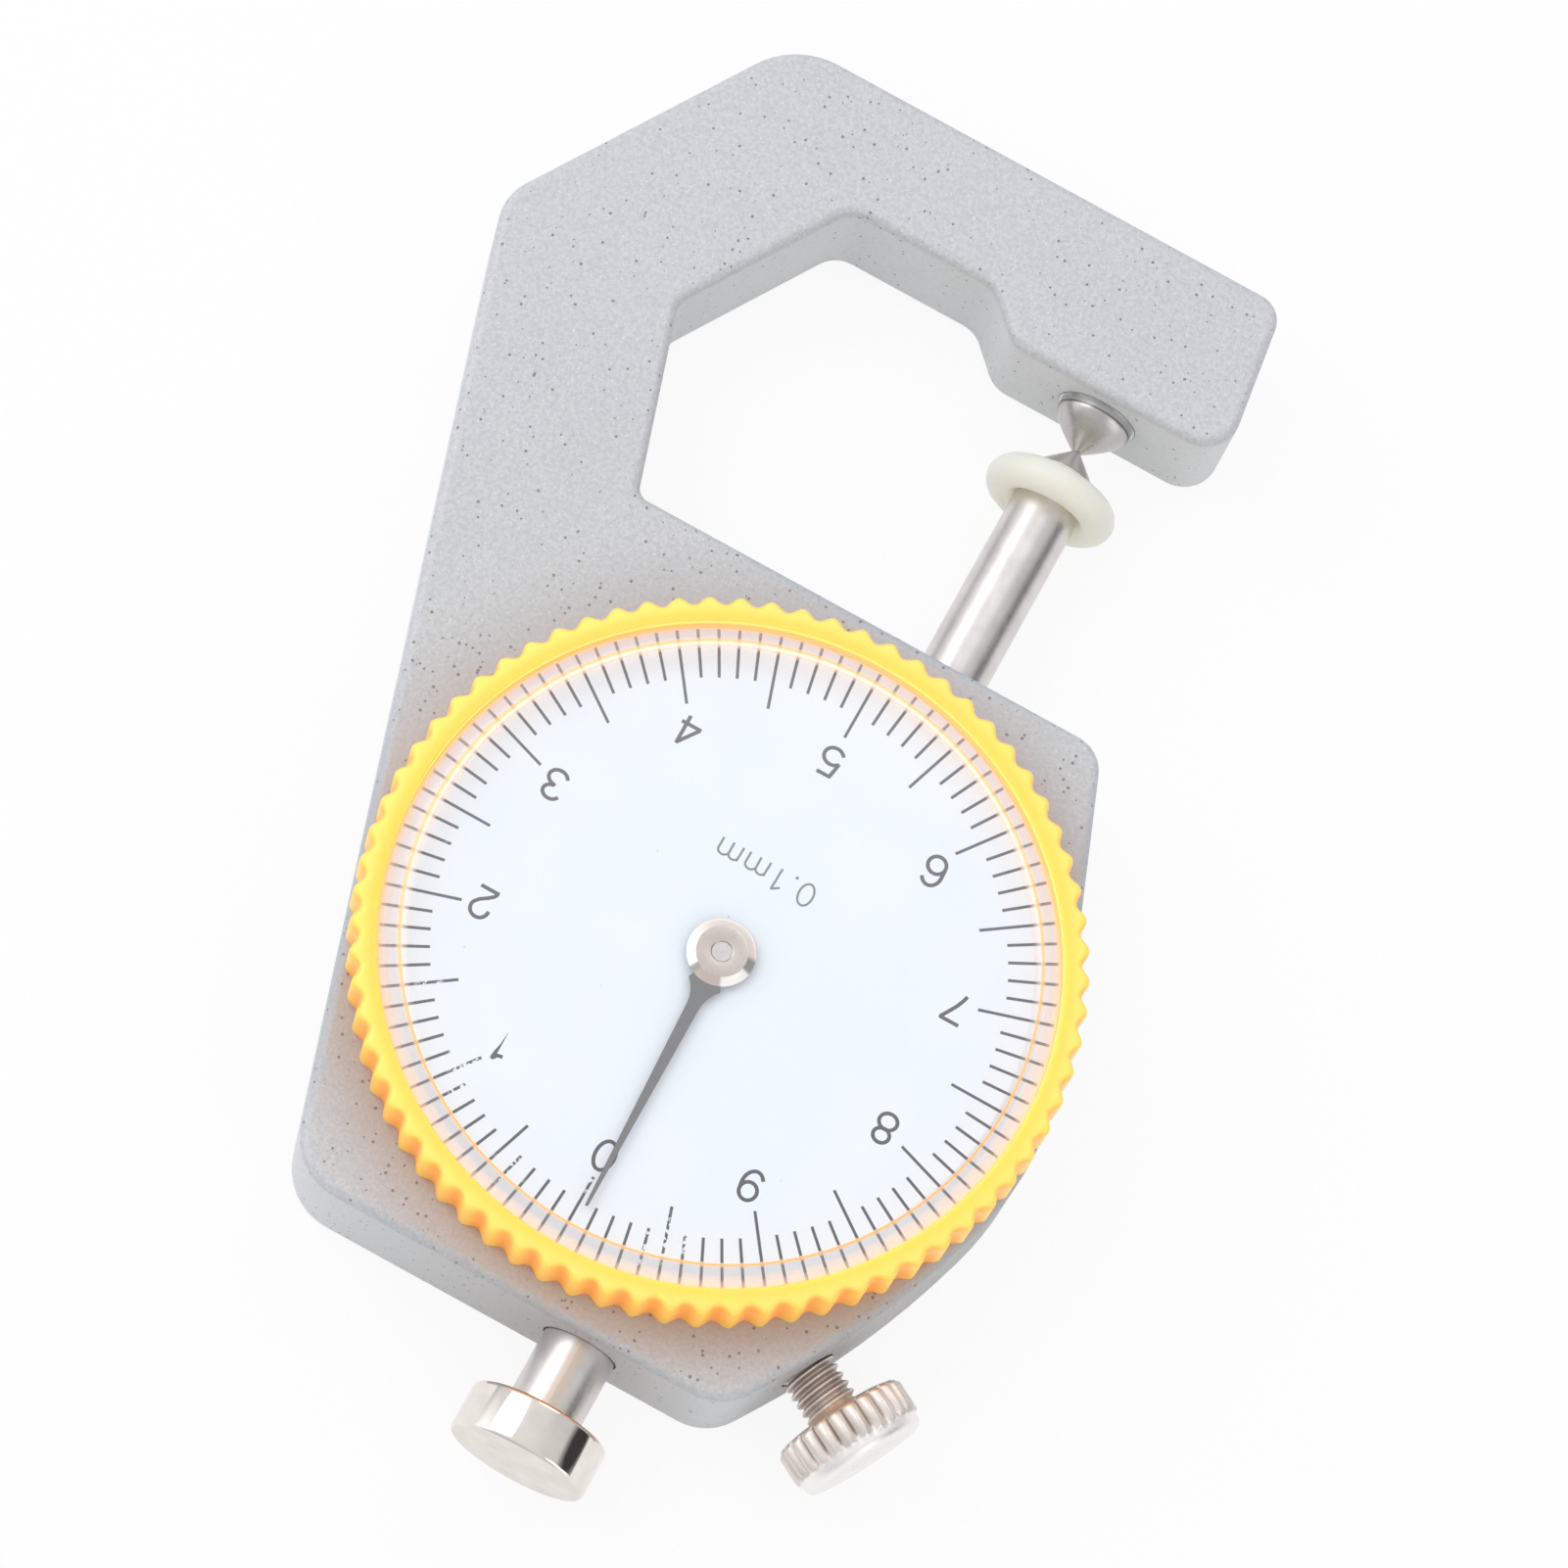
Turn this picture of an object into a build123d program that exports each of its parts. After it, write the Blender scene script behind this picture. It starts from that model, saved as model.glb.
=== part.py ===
from build123d import *
from math import acos, cos, degrees, pi, radians, sin, tan
import os

# Dial thickness gauge, in millimetres.
# The back face lies on z = 0 and the pointer's axis stands over the origin. +Y runs up
# the measuring spindle to the fixed anvil, +X to the right and +Z out of the dial.

# Body
body_thickness = 7.4
edge_rounding = 0.5
back_bevel = 0.4
# Each wall of the outline: the way that it faces, in degrees, and how far it stands from the pointer's axis
bottom_wall = (-90, 20.15)
lock_wall = (-32.5, 20.22)
grip_wall = (-17, 19.10)
right_wall = (20.4, 18.50)
throat_floor = (90, 20.60)
throat_side = (197.1, 8.77)
throat_slope = (149.3, 32.05)
throat_top = (90, 40.50)
step_wall = (45, 25.35)
anvil_wall = (90, 38.15)
arm_end = (7.3, 15.27)
top_wall = (90, 47.50)
shoulder_wall = (149.3, 41.70)
long_wall = (197.1, 18.95)
# The walls in order round the body, each with the rounding of the corner to the next one
outline = [
    (bottom_wall, 3.0),
    (lock_wall, 48.0),
    (grip_wall, 16.0),
    (right_wall, 2.0),
    (throat_floor, 0.8),
    (throat_side, 1.5),
    (throat_slope, 1.8),
    (throat_top, 1.8),
    (step_wall, 1.8),
    (anvil_wall, 2.0),
    (arm_end, 1.5),
    (top_wall, 4.5),
    (shoulder_wall, 3.0),
    (long_wall, 3.5),
]

# Pocket for the movement, and the round boss that the bezel turns on
pocket_radius = 15.2
pocket_floor = 1.6
boss_radius = 16.7
boss_top = 9.2
pillar_angles = (140, 215, 345)
pillar_centre_radius = 13.4
pillar_radius = 1.9

# Running clearance of the turning and sliding fits
fit_gap = 0.03
slide_gap = 0.05
bore_play = 0.1

# How far a cut runs past the face that it opens, a length past the whole body, and how deep a
# cast lug bites into the wall that carries it
overcut = 1.0
far = 99.0
lug_bite = 0.2

# Spindle
spindle_x = 3.35
spindle_z = 3.85
rack_rod_radius = 2.0
slim_rod_radius = 1.875
slim_rod_start = 14.6
rod_shoulder = 0.15
jaw_y = 35.76
jaw_gap = 0.02
tip_flat = 0.25
travel = 10.9

# Rack and pinion: one turn of the pointer for each 10 mm
turn_travel = 10.0
pinion_teeth = 16
pressure_angle = 20.0
backlash = 0.04
addendum_in_modules = 0.9
dedendum_in_modules = 1.25
rack_start = -1.4
rack_end = 12.3
pinion_width = 2.4

# Knob, bumper ring and anvil
knob_radius = 3.8
knob_top = -24.3
knob_end = -27.0
knob_bevel = 0.25
spigot_radius = 1.2
spigot_end = -26.2
ring_outer_radius = 3.725
ring_section_radius = 0.95
ring_y = 32.7
anvil_radius = 2.1
anvil_rim_y = 37.65
anvil_cone_radius = 1.88
anvil_cone_y = 37.20
anvil_shank_radius = 1.75
anvil_shank_end = 43.0
anvil_seat_radius = 2.3
anvil_seat_depth = 0.45

# Bushes
bush_radius = 2.4
upper_bush_start = 14.9
upper_bush_end = 19.4
lower_bush_start = -14.9
lower_bush_end = -19.0
pivot_bush_radius = 1.6
pivot_bush_base = 0.5
pivot_bush_top = 2.1

# Bezel, crystal and dial
bezel_base = 7.45
bezel_top = 10.65
bezel_radius = 19.0
scallop_root_radius = 18.6
scallops = 72
scallop_slope = 38.0
scallop_rounding = 0.46
bezel_edge = 0.22
bezel_seat = 9.25
seat_radius = 17.9
lip_radius = 17.6
lip_base = 10.1
dial_radius = 17.5
dial_top = 9.65
dial_hole_radius = 0.9
crystal_flange_radius = 17.85
crystal_plateau_radius = 16.5
crystal_plateau_z = 10.76
crystal_crown_z = 11.05
crystal_wall = 0.48
clip_inner_radius = 16.35
clip_outer_radius = 16.95
clip_base = 8.05
clip_top = 8.55
clip_opening = 14.0
groove_play = 0.02

# Pointer
pointer_length = 15.05
pointer_tip_width = 0.17
pointer_root_width = 0.70
pointer_root_reach = 3.2
pointer_flare_width = 1.8
pointer_flare_reach = 1.9
pointer_base = 9.97
pointer_top = 10.09
pointer_ring_radius = 1.6
# How far the pointer stands back from the dial's bottom point with the jaws closed
pointer_rest_turn = 1.05
hub_radius = 1.8
hub_top = 10.35
hub_flat_radius = 1.36
hub_chamfer_height = 0.30
hub_neck_radius = 1.0
hub_base = 9.80
arbor_top = 10.28
arbor_tip_radius = 0.52
arbor_radius = 0.7
pivot_radius = 0.3
pivot_end = 0.95
plate_pivot_radius = 0.6
arbor_step = 0.1

# Movement plate with its screws
plate_base = 6.3
plate_top = 7.1
plate_radius = 15.1
screw_head_radius = 1.2
screw_head_top = 7.75
screw_slot_width = 0.35
screw_slot_depth = 0.3
screw_slot_turn = 30
screw_shank_radius = 0.6
screw_shank_end = 3.2
screw_hole_play = 0.1

# Guide pin and its slot
guide_pin_y = 13.2
guide_pin_radius = 0.5
guide_pin_base = 4.2
guide_pin_top = 7.0
guide_slot_play = 0.4

# Return spring, between a post in the pocket and a cross pin in the spindle
spring_x = 6.9
spring_pin_y = 3.5
spring_pin_radius = 0.4
spring_pin_end = 7.7
spring_post_y = 12.2
spring_post_radius = 0.6
spring_post_base = 0.8
spring_post_top = 5.6
spring_radius = 0.85
spring_wire = 0.14
wire_sides = 6
spring_turns = 8
spring_neck = 0.3
loop_gap = 0.02

# Hairspring on the arbor, with its collet and stud
collet_radius = 1.0
collet_base = 7.7
collet_top = 8.3
hair_turns = 6
hair_pitch = 0.6
hair_thickness = 0.1
hair_base = 7.85
hair_top = 8.15
stud_width = 0.9
stud_top = 8.4

# Lock screw: its axis crosses the spindle's, and a plug slides ahead of it
lock_wall_x = 14.4
lock_wall_y = -15.6
lock_angle = -29.0
lock_bore_radius = 1.55
lock_bore_start = -20.0
lock_stud_radius = 1.5
lock_head_radius = 3.65
lock_head_start = 2.3
lock_head_end = 5.1
lock_flutes = 24
lock_flute_depth = 0.36
lock_flute_spread = 0.75
lock_flute_end = 4.5
lock_rim_radius = 3.45
lock_rim_rounding = 0.48
lock_plug_start = -8.17
lock_stud_end = -8.15
lock_plug_gap = 0.2
lock_lug_radius = 2.4
lock_lug_gap = 0.6
lock_lug_end = -5.0

# Worked out from the dimensions above
module = turn_travel / (pi * pinion_teeth)
pitch_radius = turn_travel / (2 * pi)
rack_pitch = turn_travel / pinion_teeth
addendum = addendum_in_modules * module
dedendum = dedendum_in_modules * module
spindle_line = Plane(origin=(spindle_x, 0, spindle_z), z_dir=(0, 1, 0)).location
lock_way = (cos(radians(lock_angle)), sin(radians(lock_angle)), 0)
lock_line = Plane(origin=(lock_wall_x, lock_wall_y, spindle_z), z_dir=lock_way).location
upright = Location((0, 0, 0))


def at_angle(radius, angle):
    """The point at this radius and angle round the pointer's axis."""
    return radius * cos(radians(angle)), radius * sin(radians(angle))


def corner(first, second):
    """The point where two walls of the outline meet."""
    (a, p), (b, q) = first, second
    turn = sin(radians(b - a))
    x = (p * sin(radians(b)) - q * sin(radians(a))) / turn
    y = (q * cos(radians(a)) - p * cos(radians(b))) / turn
    return x, y


def turned(line, *section):
    """A turned piece on a line: its half section, as radius and distance along the line, spun round it."""
    return line * revolve(Plane.XZ * make_face(Polyline(*section, close=True)), Axis.Z)


def rod(line, radius, start, end):
    """A plain round bar along a line, from one distance to another."""
    return turned(line, (0, start), (radius, start), (radius, end), (0, end))


def tube(line, inner, outer, start, end):
    """A plain ring or bush along a line."""
    return turned(line, (inner, start), (outer, start), (outer, end), (inner, end))


def pillar_places():
    return [Location((*at_angle(pillar_centre_radius, angle), 0)) for angle in pillar_angles]


def make_frame_body():
    """Cast body: the outline with a soft front edge, the boss, and the pocket with its pillars and bores."""
    walls = [wall for wall, rounding in outline]
    roundings = [rounding for wall, rounding in outline]
    corners = [corner(wall, following) for wall, following in zip(walls, walls[1:] + walls[:1])]
    body = extrude(make_face(FilletPolyline(*corners, radius=roundings, close=True)), body_thickness)
    body = fillet(body.faces().sort_by(Axis.Z)[-1].edges(), edge_rounding)
    body = chamfer(body.faces().sort_by(Axis.Z)[0].edges(), back_bevel)
    body += rod(upright, boss_radius, body_thickness / 2, boss_top)
    body -= rod(upright, pocket_radius, pocket_floor, boss_top + overcut)
    groove = (clip_base - groove_play, clip_top + groove_play)
    body -= tube(upright, clip_inner_radius, boss_radius + overcut, *groove)
    for place in pillar_places():
        body += rod(place, pillar_radius, pocket_floor / 2, plate_base)
        body -= rod(place, screw_shank_radius, screw_shank_end, plate_base + overcut)
    body += lock_lug()
    body -= rod(lock_line, lock_bore_radius, lock_bore_start, lock_head_start)
    body -= rod(spindle_line, slim_rod_radius + bore_play, 0, throat_floor[1] + overcut)
    body -= rod(spindle_line, bush_radius, 0, upper_bush_end)
    body -= rod(spindle_line, rack_rod_radius + bore_play, -bottom_wall[1] - overcut, 0)
    body -= rod(spindle_line, bush_radius, lower_bush_end, 0)
    body -= rod(spindle_line, anvil_seat_radius, anvil_wall[1] - overcut, anvil_wall[1] + anvil_seat_depth)
    body -= rod(spindle_line, anvil_shank_radius, anvil_wall[1], anvil_shank_end)
    body -= rod(upright, pivot_bush_radius, pivot_bush_base, pocket_floor + overcut)
    body -= rod(spring_post_line(), spring_post_radius, spring_post_base, pocket_floor + overcut)
    return body


def lock_lug():
    """Cast lug in the pocket that carries the lock screw's bore up to the spindle."""
    lug = rod(lock_line, lock_lug_radius, lock_bore_start, lock_lug_end)
    near_spindle = spindle_x + rack_rod_radius + lock_lug_gap
    clear_half = Pos(near_spindle, 0, 0) * Box(far, far, far, align=(Align.MIN, Align.CENTER, Align.CENTER))
    return lug & clear_half & rod(upright, pocket_radius + lug_bite, pocket_floor / 2, plate_base)


def make_fixed_anvil():
    """Pointed anvil: a blunt cone with a bevelled rim, on a shank that is pressed into the arm."""
    seat = anvil_wall[1] + anvil_seat_depth
    return turned(
        spindle_line,
        (0, jaw_y + jaw_gap / 2),
        (tip_flat, jaw_y + jaw_gap / 2),
        (anvil_cone_radius, anvil_cone_y),
        (anvil_radius, anvil_rim_y),
        (anvil_radius, seat),
        (anvil_shank_radius, seat),
        (anvil_shank_radius, anvil_shank_end),
        (0, anvil_shank_end),
    )


def rack_gap(y):
    """The space between two rack teeth, as wide at the pitch line as a tooth."""
    root = pitch_radius + dedendum
    mouth = pitch_radius - 2 * module
    slope = tan(radians(pressure_angle))
    root_half = rack_pitch / 4 - dedendum * slope
    mouth_half = rack_pitch / 4 + 2 * module * slope
    shape = Polyline(
        (root, y - root_half),
        (root, y + root_half),
        (mouth, y + mouth_half),
        (mouth, y - mouth_half),
        close=True,
    )
    depth = 2 * rack_rod_radius
    return Pos(0, 0, spindle_z - depth / 2) * extrude(make_face(shape), depth)


def make_spindle():
    """Measuring spindle: pointed slim end, thicker end with the rack, spigot for the knob, two pin holes."""
    spindle = turned(
        spindle_line,
        (0, spigot_end),
        (spigot_radius, spigot_end),
        (spigot_radius, knob_top),
        (rack_rod_radius, knob_top),
        (rack_rod_radius, slim_rod_start - rod_shoulder),
        (slim_rod_radius, slim_rod_start),
        (slim_rod_radius, jaw_y - jaw_gap / 2 - (slim_rod_radius - tip_flat)),
        (tip_flat, jaw_y - jaw_gap / 2),
        (0, jaw_y - jaw_gap / 2),
    )
    tooth_tips = pitch_radius - addendum
    flat_length = rack_end - rack_start
    spindle -= Pos(tooth_tips, rack_start, spindle_z) * Box(
        rack_rod_radius, flat_length, 2 * rack_rod_radius, align=(Align.MAX, Align.MIN, Align.CENTER)
    )
    first_gap = round(rack_start / rack_pitch)
    last_gap = round(rack_end / rack_pitch)
    spindle -= [rack_gap(gap * rack_pitch) for gap in range(first_gap, last_gap)]
    spindle -= rod(guide_pin_line(), guide_pin_radius, guide_pin_base, guide_pin_top)
    spindle -= rod(cross_pin_line(), spring_pin_radius, spindle_x, spring_pin_end)
    return spindle


def guide_pin_line():
    return Location((spindle_x, guide_pin_y, 0))


def cross_pin_line():
    return Plane(origin=(0, spring_pin_y, spindle_z), z_dir=(1, 0, 0)).location


def spring_post_line():
    return Location((spring_x, spring_post_y, 0))


def make_pull_knob():
    """Disc on the spindle's lower end, bored for the spigot, with bevelled rims."""
    return turned(
        spindle_line,
        (0, knob_end),
        (knob_radius - knob_bevel, knob_end),
        (knob_radius, knob_end + knob_bevel),
        (knob_radius, knob_top - knob_bevel),
        (knob_radius - knob_bevel, knob_top),
        (spigot_radius, knob_top),
        (spigot_radius, spigot_end),
        (0, spigot_end),
    )


def make_bumper_ring():
    """Rubber ring, stretched over the spindle below its point."""
    section = Pos(ring_outer_radius - ring_section_radius, ring_y) * Circle(ring_section_radius)
    section -= Rectangle(slim_rod_radius, far, align=(Align.MIN, Align.CENTER))
    return spindle_line * revolve(Plane.XZ * section, Axis.Z)


def make_upper_bush():
    return tube(spindle_line, slim_rod_radius + fit_gap, bush_radius, upper_bush_start, upper_bush_end)


def make_lower_bush():
    return tube(spindle_line, rack_rod_radius + fit_gap, bush_radius, lower_bush_end, lower_bush_start)


def tooth_half_angle(radius):
    """Half the angle that a pinion tooth fills at this radius, from the involute of its base circle."""
    pressure = radians(pressure_angle)
    base_radius = pitch_radius * cos(pressure)
    here = acos(min(1, base_radius / radius))
    half_tooth = (rack_pitch / 2 - backlash) / 2
    return degrees(half_tooth / pitch_radius + tan(pressure) - pressure - tan(here) + here)


def pinion_outline():
    """Involute teeth round the pinion; below the base circle each flank runs straight in."""
    base_radius = pitch_radius * cos(radians(pressure_angle))
    root_radius = pitch_radius - dedendum
    tip_radius = pitch_radius + module
    flank_radius = (base_radius + tip_radius) / 2
    base_angle = tooth_half_angle(base_radius)
    flank_angle = tooth_half_angle(flank_radius)
    tip_angle = tooth_half_angle(tip_radius)
    step = 360 / pinion_teeth
    edges = []
    for tooth in range(pinion_teeth):
        middle = tooth * step
        edges += [
            Line(at_angle(root_radius, middle - base_angle), at_angle(base_radius, middle - base_angle)),
            ThreePointArc(
                at_angle(base_radius, middle - base_angle),
                at_angle(flank_radius, middle - flank_angle),
                at_angle(tip_radius, middle - tip_angle),
            ),
            ThreePointArc(
                at_angle(tip_radius, middle - tip_angle),
                at_angle(tip_radius, middle),
                at_angle(tip_radius, middle + tip_angle),
            ),
            ThreePointArc(
                at_angle(tip_radius, middle + tip_angle),
                at_angle(flank_radius, middle + flank_angle),
                at_angle(base_radius, middle + base_angle),
            ),
            Line(at_angle(base_radius, middle + base_angle), at_angle(root_radius, middle + base_angle)),
            ThreePointArc(
                at_angle(root_radius, middle + base_angle),
                at_angle(root_radius, middle + step / 2),
                at_angle(root_radius, middle + step - base_angle),
            ),
        ]
    return make_face(edges)


def make_pinion_arbor():
    """Upright shaft with the pinion cut on it: lower pivot, plate pivot, and the tip that holds the hub."""
    pinion_base = spindle_z - pinion_width / 2
    arbor = turned(
        upright,
        (0, pivot_end),
        (pivot_radius, pivot_end),
        (pivot_radius, pivot_bush_top + slide_gap),
        (arbor_radius, pivot_bush_top + slide_gap),
        (arbor_radius, plate_base - slide_gap),
        (plate_pivot_radius, plate_base - slide_gap),
        (plate_pivot_radius, plate_top + arbor_step),
        (arbor_tip_radius, plate_top + arbor_step),
        (arbor_tip_radius, arbor_top),
        (0, arbor_top),
    )
    return arbor + Pos(0, 0, pinion_base) * extrude(pinion_outline(), pinion_width)


def make_pivot_bush():
    """Blind bearing for the arbor's lower pivot, pressed into the pocket's floor."""
    bush = rod(upright, pivot_bush_radius, pivot_bush_base, pivot_bush_top)
    return bush - rod(upright, pivot_radius + fit_gap, pivot_end - slide_gap, pivot_bush_top + overcut)


def make_movement_plate():
    """Round plate on the pillars: arbor bearing, slot for the guide pin, and three screw holes."""
    plate = rod(upright, plate_radius, plate_base, plate_top)
    plate -= rod(upright, plate_pivot_radius + fit_gap, plate_base - overcut, plate_top + overcut)
    for place in pillar_places():
        hole_radius = screw_shank_radius + screw_hole_play
        plate -= rod(place, hole_radius, plate_base - overcut, plate_top + overcut)
    slot_width = 2 * (guide_pin_radius + fit_gap)
    slot_length = travel + 2 * guide_slot_play + slot_width
    slot_middle = guide_pin_y - travel / 2
    slot = Pos(spindle_x, slot_middle) * SlotOverall(slot_length, slot_width, rotation=90)
    plate -= Pos(0, 0, plate_base - overcut) * extrude(slot, plate_top - plate_base + 2 * overcut)
    return plate - Pos(hairspring_end(), 0, 0) * Box(stud_width, stud_width, far)


def make_movement_screws():
    """Slotted screws that hold the plate to the pillars."""
    screws = []
    for place in pillar_places():
        screw = rod(place, screw_shank_radius, screw_shank_end, plate_top)
        screw += rod(place, screw_head_radius, plate_top, screw_head_top)
        sunk = (Align.CENTER, Align.CENTER, Align.MAX)
        slot = Box(3 * screw_head_radius, screw_slot_width, screw_slot_depth, align=sunk)
        screws.append(screw - place * Pos(0, 0, screw_head_top) * Rot(0, 0, screw_slot_turn) * slot)
    return screws


def make_guide_pin():
    return rod(guide_pin_line(), guide_pin_radius, guide_pin_base, guide_pin_top)


def make_spring_pin():
    """Cross pin in the spindle's side, for the spring's lower loop."""
    return rod(cross_pin_line(), spring_pin_radius, spindle_x, spring_pin_end)


def make_spring_post():
    return rod(spring_post_line(), spring_post_radius, spring_post_base, spring_post_top)


def make_return_spring():
    """Pull spring: an open coil, with a loop round the post and one round the cross pin."""
    post_loop_radius = spring_post_radius + spring_wire + loop_gap
    pin_loop_radius = spring_pin_radius + spring_wire + loop_gap
    low = spring_pin_y + pin_loop_radius + spring_neck
    high = spring_post_y - post_loop_radius - spring_neck
    axis_line = Plane(origin=(spring_x, low, spindle_z), z_dir=(0, 1, 0)).location
    coil = Helix((high - low) / spring_turns, high - low, spring_radius)
    section = RegularPolygon(spring_wire, wire_sides)
    spring = axis_line * sweep(Plane(origin=coil @ 0, z_dir=coil % 0) * section, path=coil, is_frenet=True)
    start = axis_line * Pos(spring_radius, 0, 0)
    end = axis_line * Pos(spring_radius, 0, high - low)
    spring += Location((spring_x, spring_pin_y, spindle_z), (0, 90, 0)) * wire_loop(pin_loop_radius)
    spring += Location((spring_x, spring_post_y, spindle_z)) * wire_loop(post_loop_radius)
    spring += straight_wire(start.position, Vector(spring_x, spring_pin_y + pin_loop_radius, spindle_z))
    spring += straight_wire(end.position, Vector(spring_x, spring_post_y - post_loop_radius, spindle_z))
    return spring


def wire_loop(radius):
    """A closed loop of the spring's six-sided wire, lying flat round the origin."""
    return revolve(Plane.XZ * Pos(radius, 0) * RegularPolygon(spring_wire, wire_sides), Axis.Z)


def straight_wire(start, end):
    """A short run of spring wire between two points, let a little into what it joins at each end."""
    way = (end - start).normalized()
    length = (end - start).length + 2 * spring_wire
    run = extrude(RegularPolygon(spring_wire, wire_sides), length)
    return Plane(origin=start - way * spring_wire, z_dir=way) * run


def half_ring(radius, centre_x, side):
    """Half a turn of the hairspring, above or below the line through its centre."""
    ring = Circle(radius + hair_thickness / 2) - Circle(radius - hair_thickness / 2)
    half_plane = Rectangle(far, far, align=(Align.CENTER, Align.MIN if side > 0 else Align.MAX))
    return Pos(centre_x, 0) * (ring & half_plane)


def hairspring_end():
    """How far out the hairspring's last half turn ends."""
    return collet_radius + hair_thickness / 2 + slide_gap + hair_turns * hair_pitch


def make_hairspring():
    """Flat spiral built from half turns, each half a pitch wider than the last."""
    first_radius = collet_radius + hair_thickness / 2 + slide_gap
    spiral = []
    for half_turn in range(2 * hair_turns):
        below = half_turn % 2
        radius = first_radius + half_turn * hair_pitch / 2
        spiral.append(half_ring(radius, below * hair_pitch / 2, -1 if below else 1))
    return Pos(0, 0, hair_base) * extrude(Sketch() + spiral, hair_top - hair_base)


def make_hairspring_collet():
    return tube(upright, arbor_tip_radius, collet_radius, collet_base, collet_top)


def make_hairspring_stud():
    """Block in the plate with a slit that takes the end of the hairspring."""
    stud = Pos(hairspring_end(), 0, plate_base) * Box(
        stud_width, stud_width, stud_top - plate_base, align=(Align.CENTER, Align.CENTER, Align.MIN)
    )
    return stud - make_hairspring()


def scalloped_outline():
    """The bezel's rim: flanks that zigzag round it, with every crest and hollow rounded."""
    corner_cut = scallop_rounding * (1 / cos(radians(scallop_slope)) - 1)
    step = 360 / scallops
    corners = []
    for scallop in range(scallops):
        corners.append(at_angle(bezel_radius + corner_cut, scallop * step))
        corners.append(at_angle(scallop_root_radius - corner_cut, (scallop + 0.5) * step))
    return make_face(FilletPolyline(*corners, radius=scallop_rounding, close=True))


def make_bezel():
    """Scalloped bezel: bevelled upper rim, a bore that runs on the boss, and a lip over the crystal."""
    bezel = Pos(0, 0, bezel_base) * extrude(scalloped_outline(), bezel_top - bezel_base)
    bezel &= turned(
        upright,
        (0, bezel_base),
        (bezel_radius + bezel_edge, bezel_base),
        (bezel_radius + bezel_edge, bezel_top - 2 * bezel_edge),
        (bezel_radius - bezel_edge, bezel_top),
        (0, bezel_top),
    )
    bezel -= rod(upright, boss_radius + slide_gap, bezel_base - overcut, bezel_seat)
    bezel -= rod(upright, seat_radius, bezel_seat, lip_base)
    bezel -= rod(upright, lip_radius, lip_base, bezel_top + overcut)
    bezel -= rod(upright, clip_outer_radius + slide_gap, clip_base - 2 * slide_gap, clip_top + 2 * slide_gap)
    return bezel


def crown_arc(rim, top):
    """Arc of the crystal's gentle dome, from its rim in to the middle, where it stands at this height."""
    rise = top - rim[1]
    ball_radius = (rim[0] ** 2 + rise ** 2) / (2 * rise)
    lean = degrees(acos(rim[0] / ball_radius))
    return CenterArc((0, top - ball_radius), ball_radius, lean, 90 - lean)


def make_crystal():
    """Clear cover: a flat flange under the bezel's lip, a sloped band, and a gently crowned middle."""
    band_start = (crystal_plateau_radius, crystal_plateau_z)
    inner_start = (crystal_plateau_radius - crystal_wall / 2, crystal_plateau_z - crystal_wall)
    band_end = lip_radius - slide_gap
    outer_crown = crown_arc(band_start, crystal_crown_z)
    inner_crown = crown_arc(inner_start, crystal_crown_z - crystal_wall)
    edges = [
        Line(inner_crown @ 1, outer_crown @ 1),
        outer_crown,
        Polyline(
            band_start,
            (band_end, lip_base + slide_gap),
            (band_end, lip_base),
            (crystal_flange_radius, lip_base),
            (crystal_flange_radius, dial_top),
            (band_end - crystal_wall, dial_top),
            inner_start,
        ),
        inner_crown,
    ]
    return revolve(Plane.XZ * make_face(edges), Axis.Z)


def make_dial_plate():
    return tube(upright, dial_hole_radius, dial_radius, bezel_seat, dial_top)


def make_bezel_clip():
    """Split ring in the boss's groove that keeps the bezel on."""
    ring = tube(upright, clip_inner_radius, clip_outer_radius, clip_base, clip_top)
    half_opening = radians(clip_opening / 2)
    reach = 2 * boss_radius
    wedge = make_face(
        Polyline(
            (0, 0),
            (-reach * cos(half_opening), reach * sin(half_opening)),
            (-reach * cos(half_opening), -reach * sin(half_opening)),
            close=True,
        )
    )
    return ring - Pos(0, 0, clip_base - overcut) * extrude(wedge, clip_top - clip_base + 2 * overcut)


def make_pointer_blade():
    """Thin blade that tapers to its tip and flares into a ring that the hub is closed over."""
    half_tip = pointer_tip_width / 2
    half_root = pointer_root_width / 2
    half_flare = pointer_flare_width / 2
    tip = (half_tip, -pointer_length)
    root = (half_root, -pointer_root_reach)
    taper = ((half_root - half_tip), (pointer_length - pointer_root_reach))
    edges = [
        Line(tip, root),
        TangentArc(root, (half_flare, -pointer_flare_reach), tangent=taper),
        Line((half_flare, -pointer_flare_reach), (0, 0)),
    ]
    edges += [mirror(edge, about=Plane.YZ) for edge in edges]
    edges.append(Line((-half_tip, -pointer_length), tip))
    blade = make_face(edges) + Circle(pointer_ring_radius)
    blade -= Circle(hub_neck_radius)
    turn = Rot(0, 0, pointer_rest_turn)
    return Pos(0, 0, pointer_base) * turn * extrude(blade, pointer_top - pointer_base)


def make_pointer_hub():
    """Boss that is pushed on the arbor's tip: bevelled head over the blade, neck through its ring."""
    return turned(
        upright,
        (arbor_tip_radius, hub_base),
        (hub_neck_radius, hub_base),
        (hub_neck_radius, pointer_top),
        (hub_radius, pointer_top),
        (hub_radius, hub_top - hub_chamfer_height),
        (hub_flat_radius, hub_top),
        (arbor_tip_radius, hub_top),
    )


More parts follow.
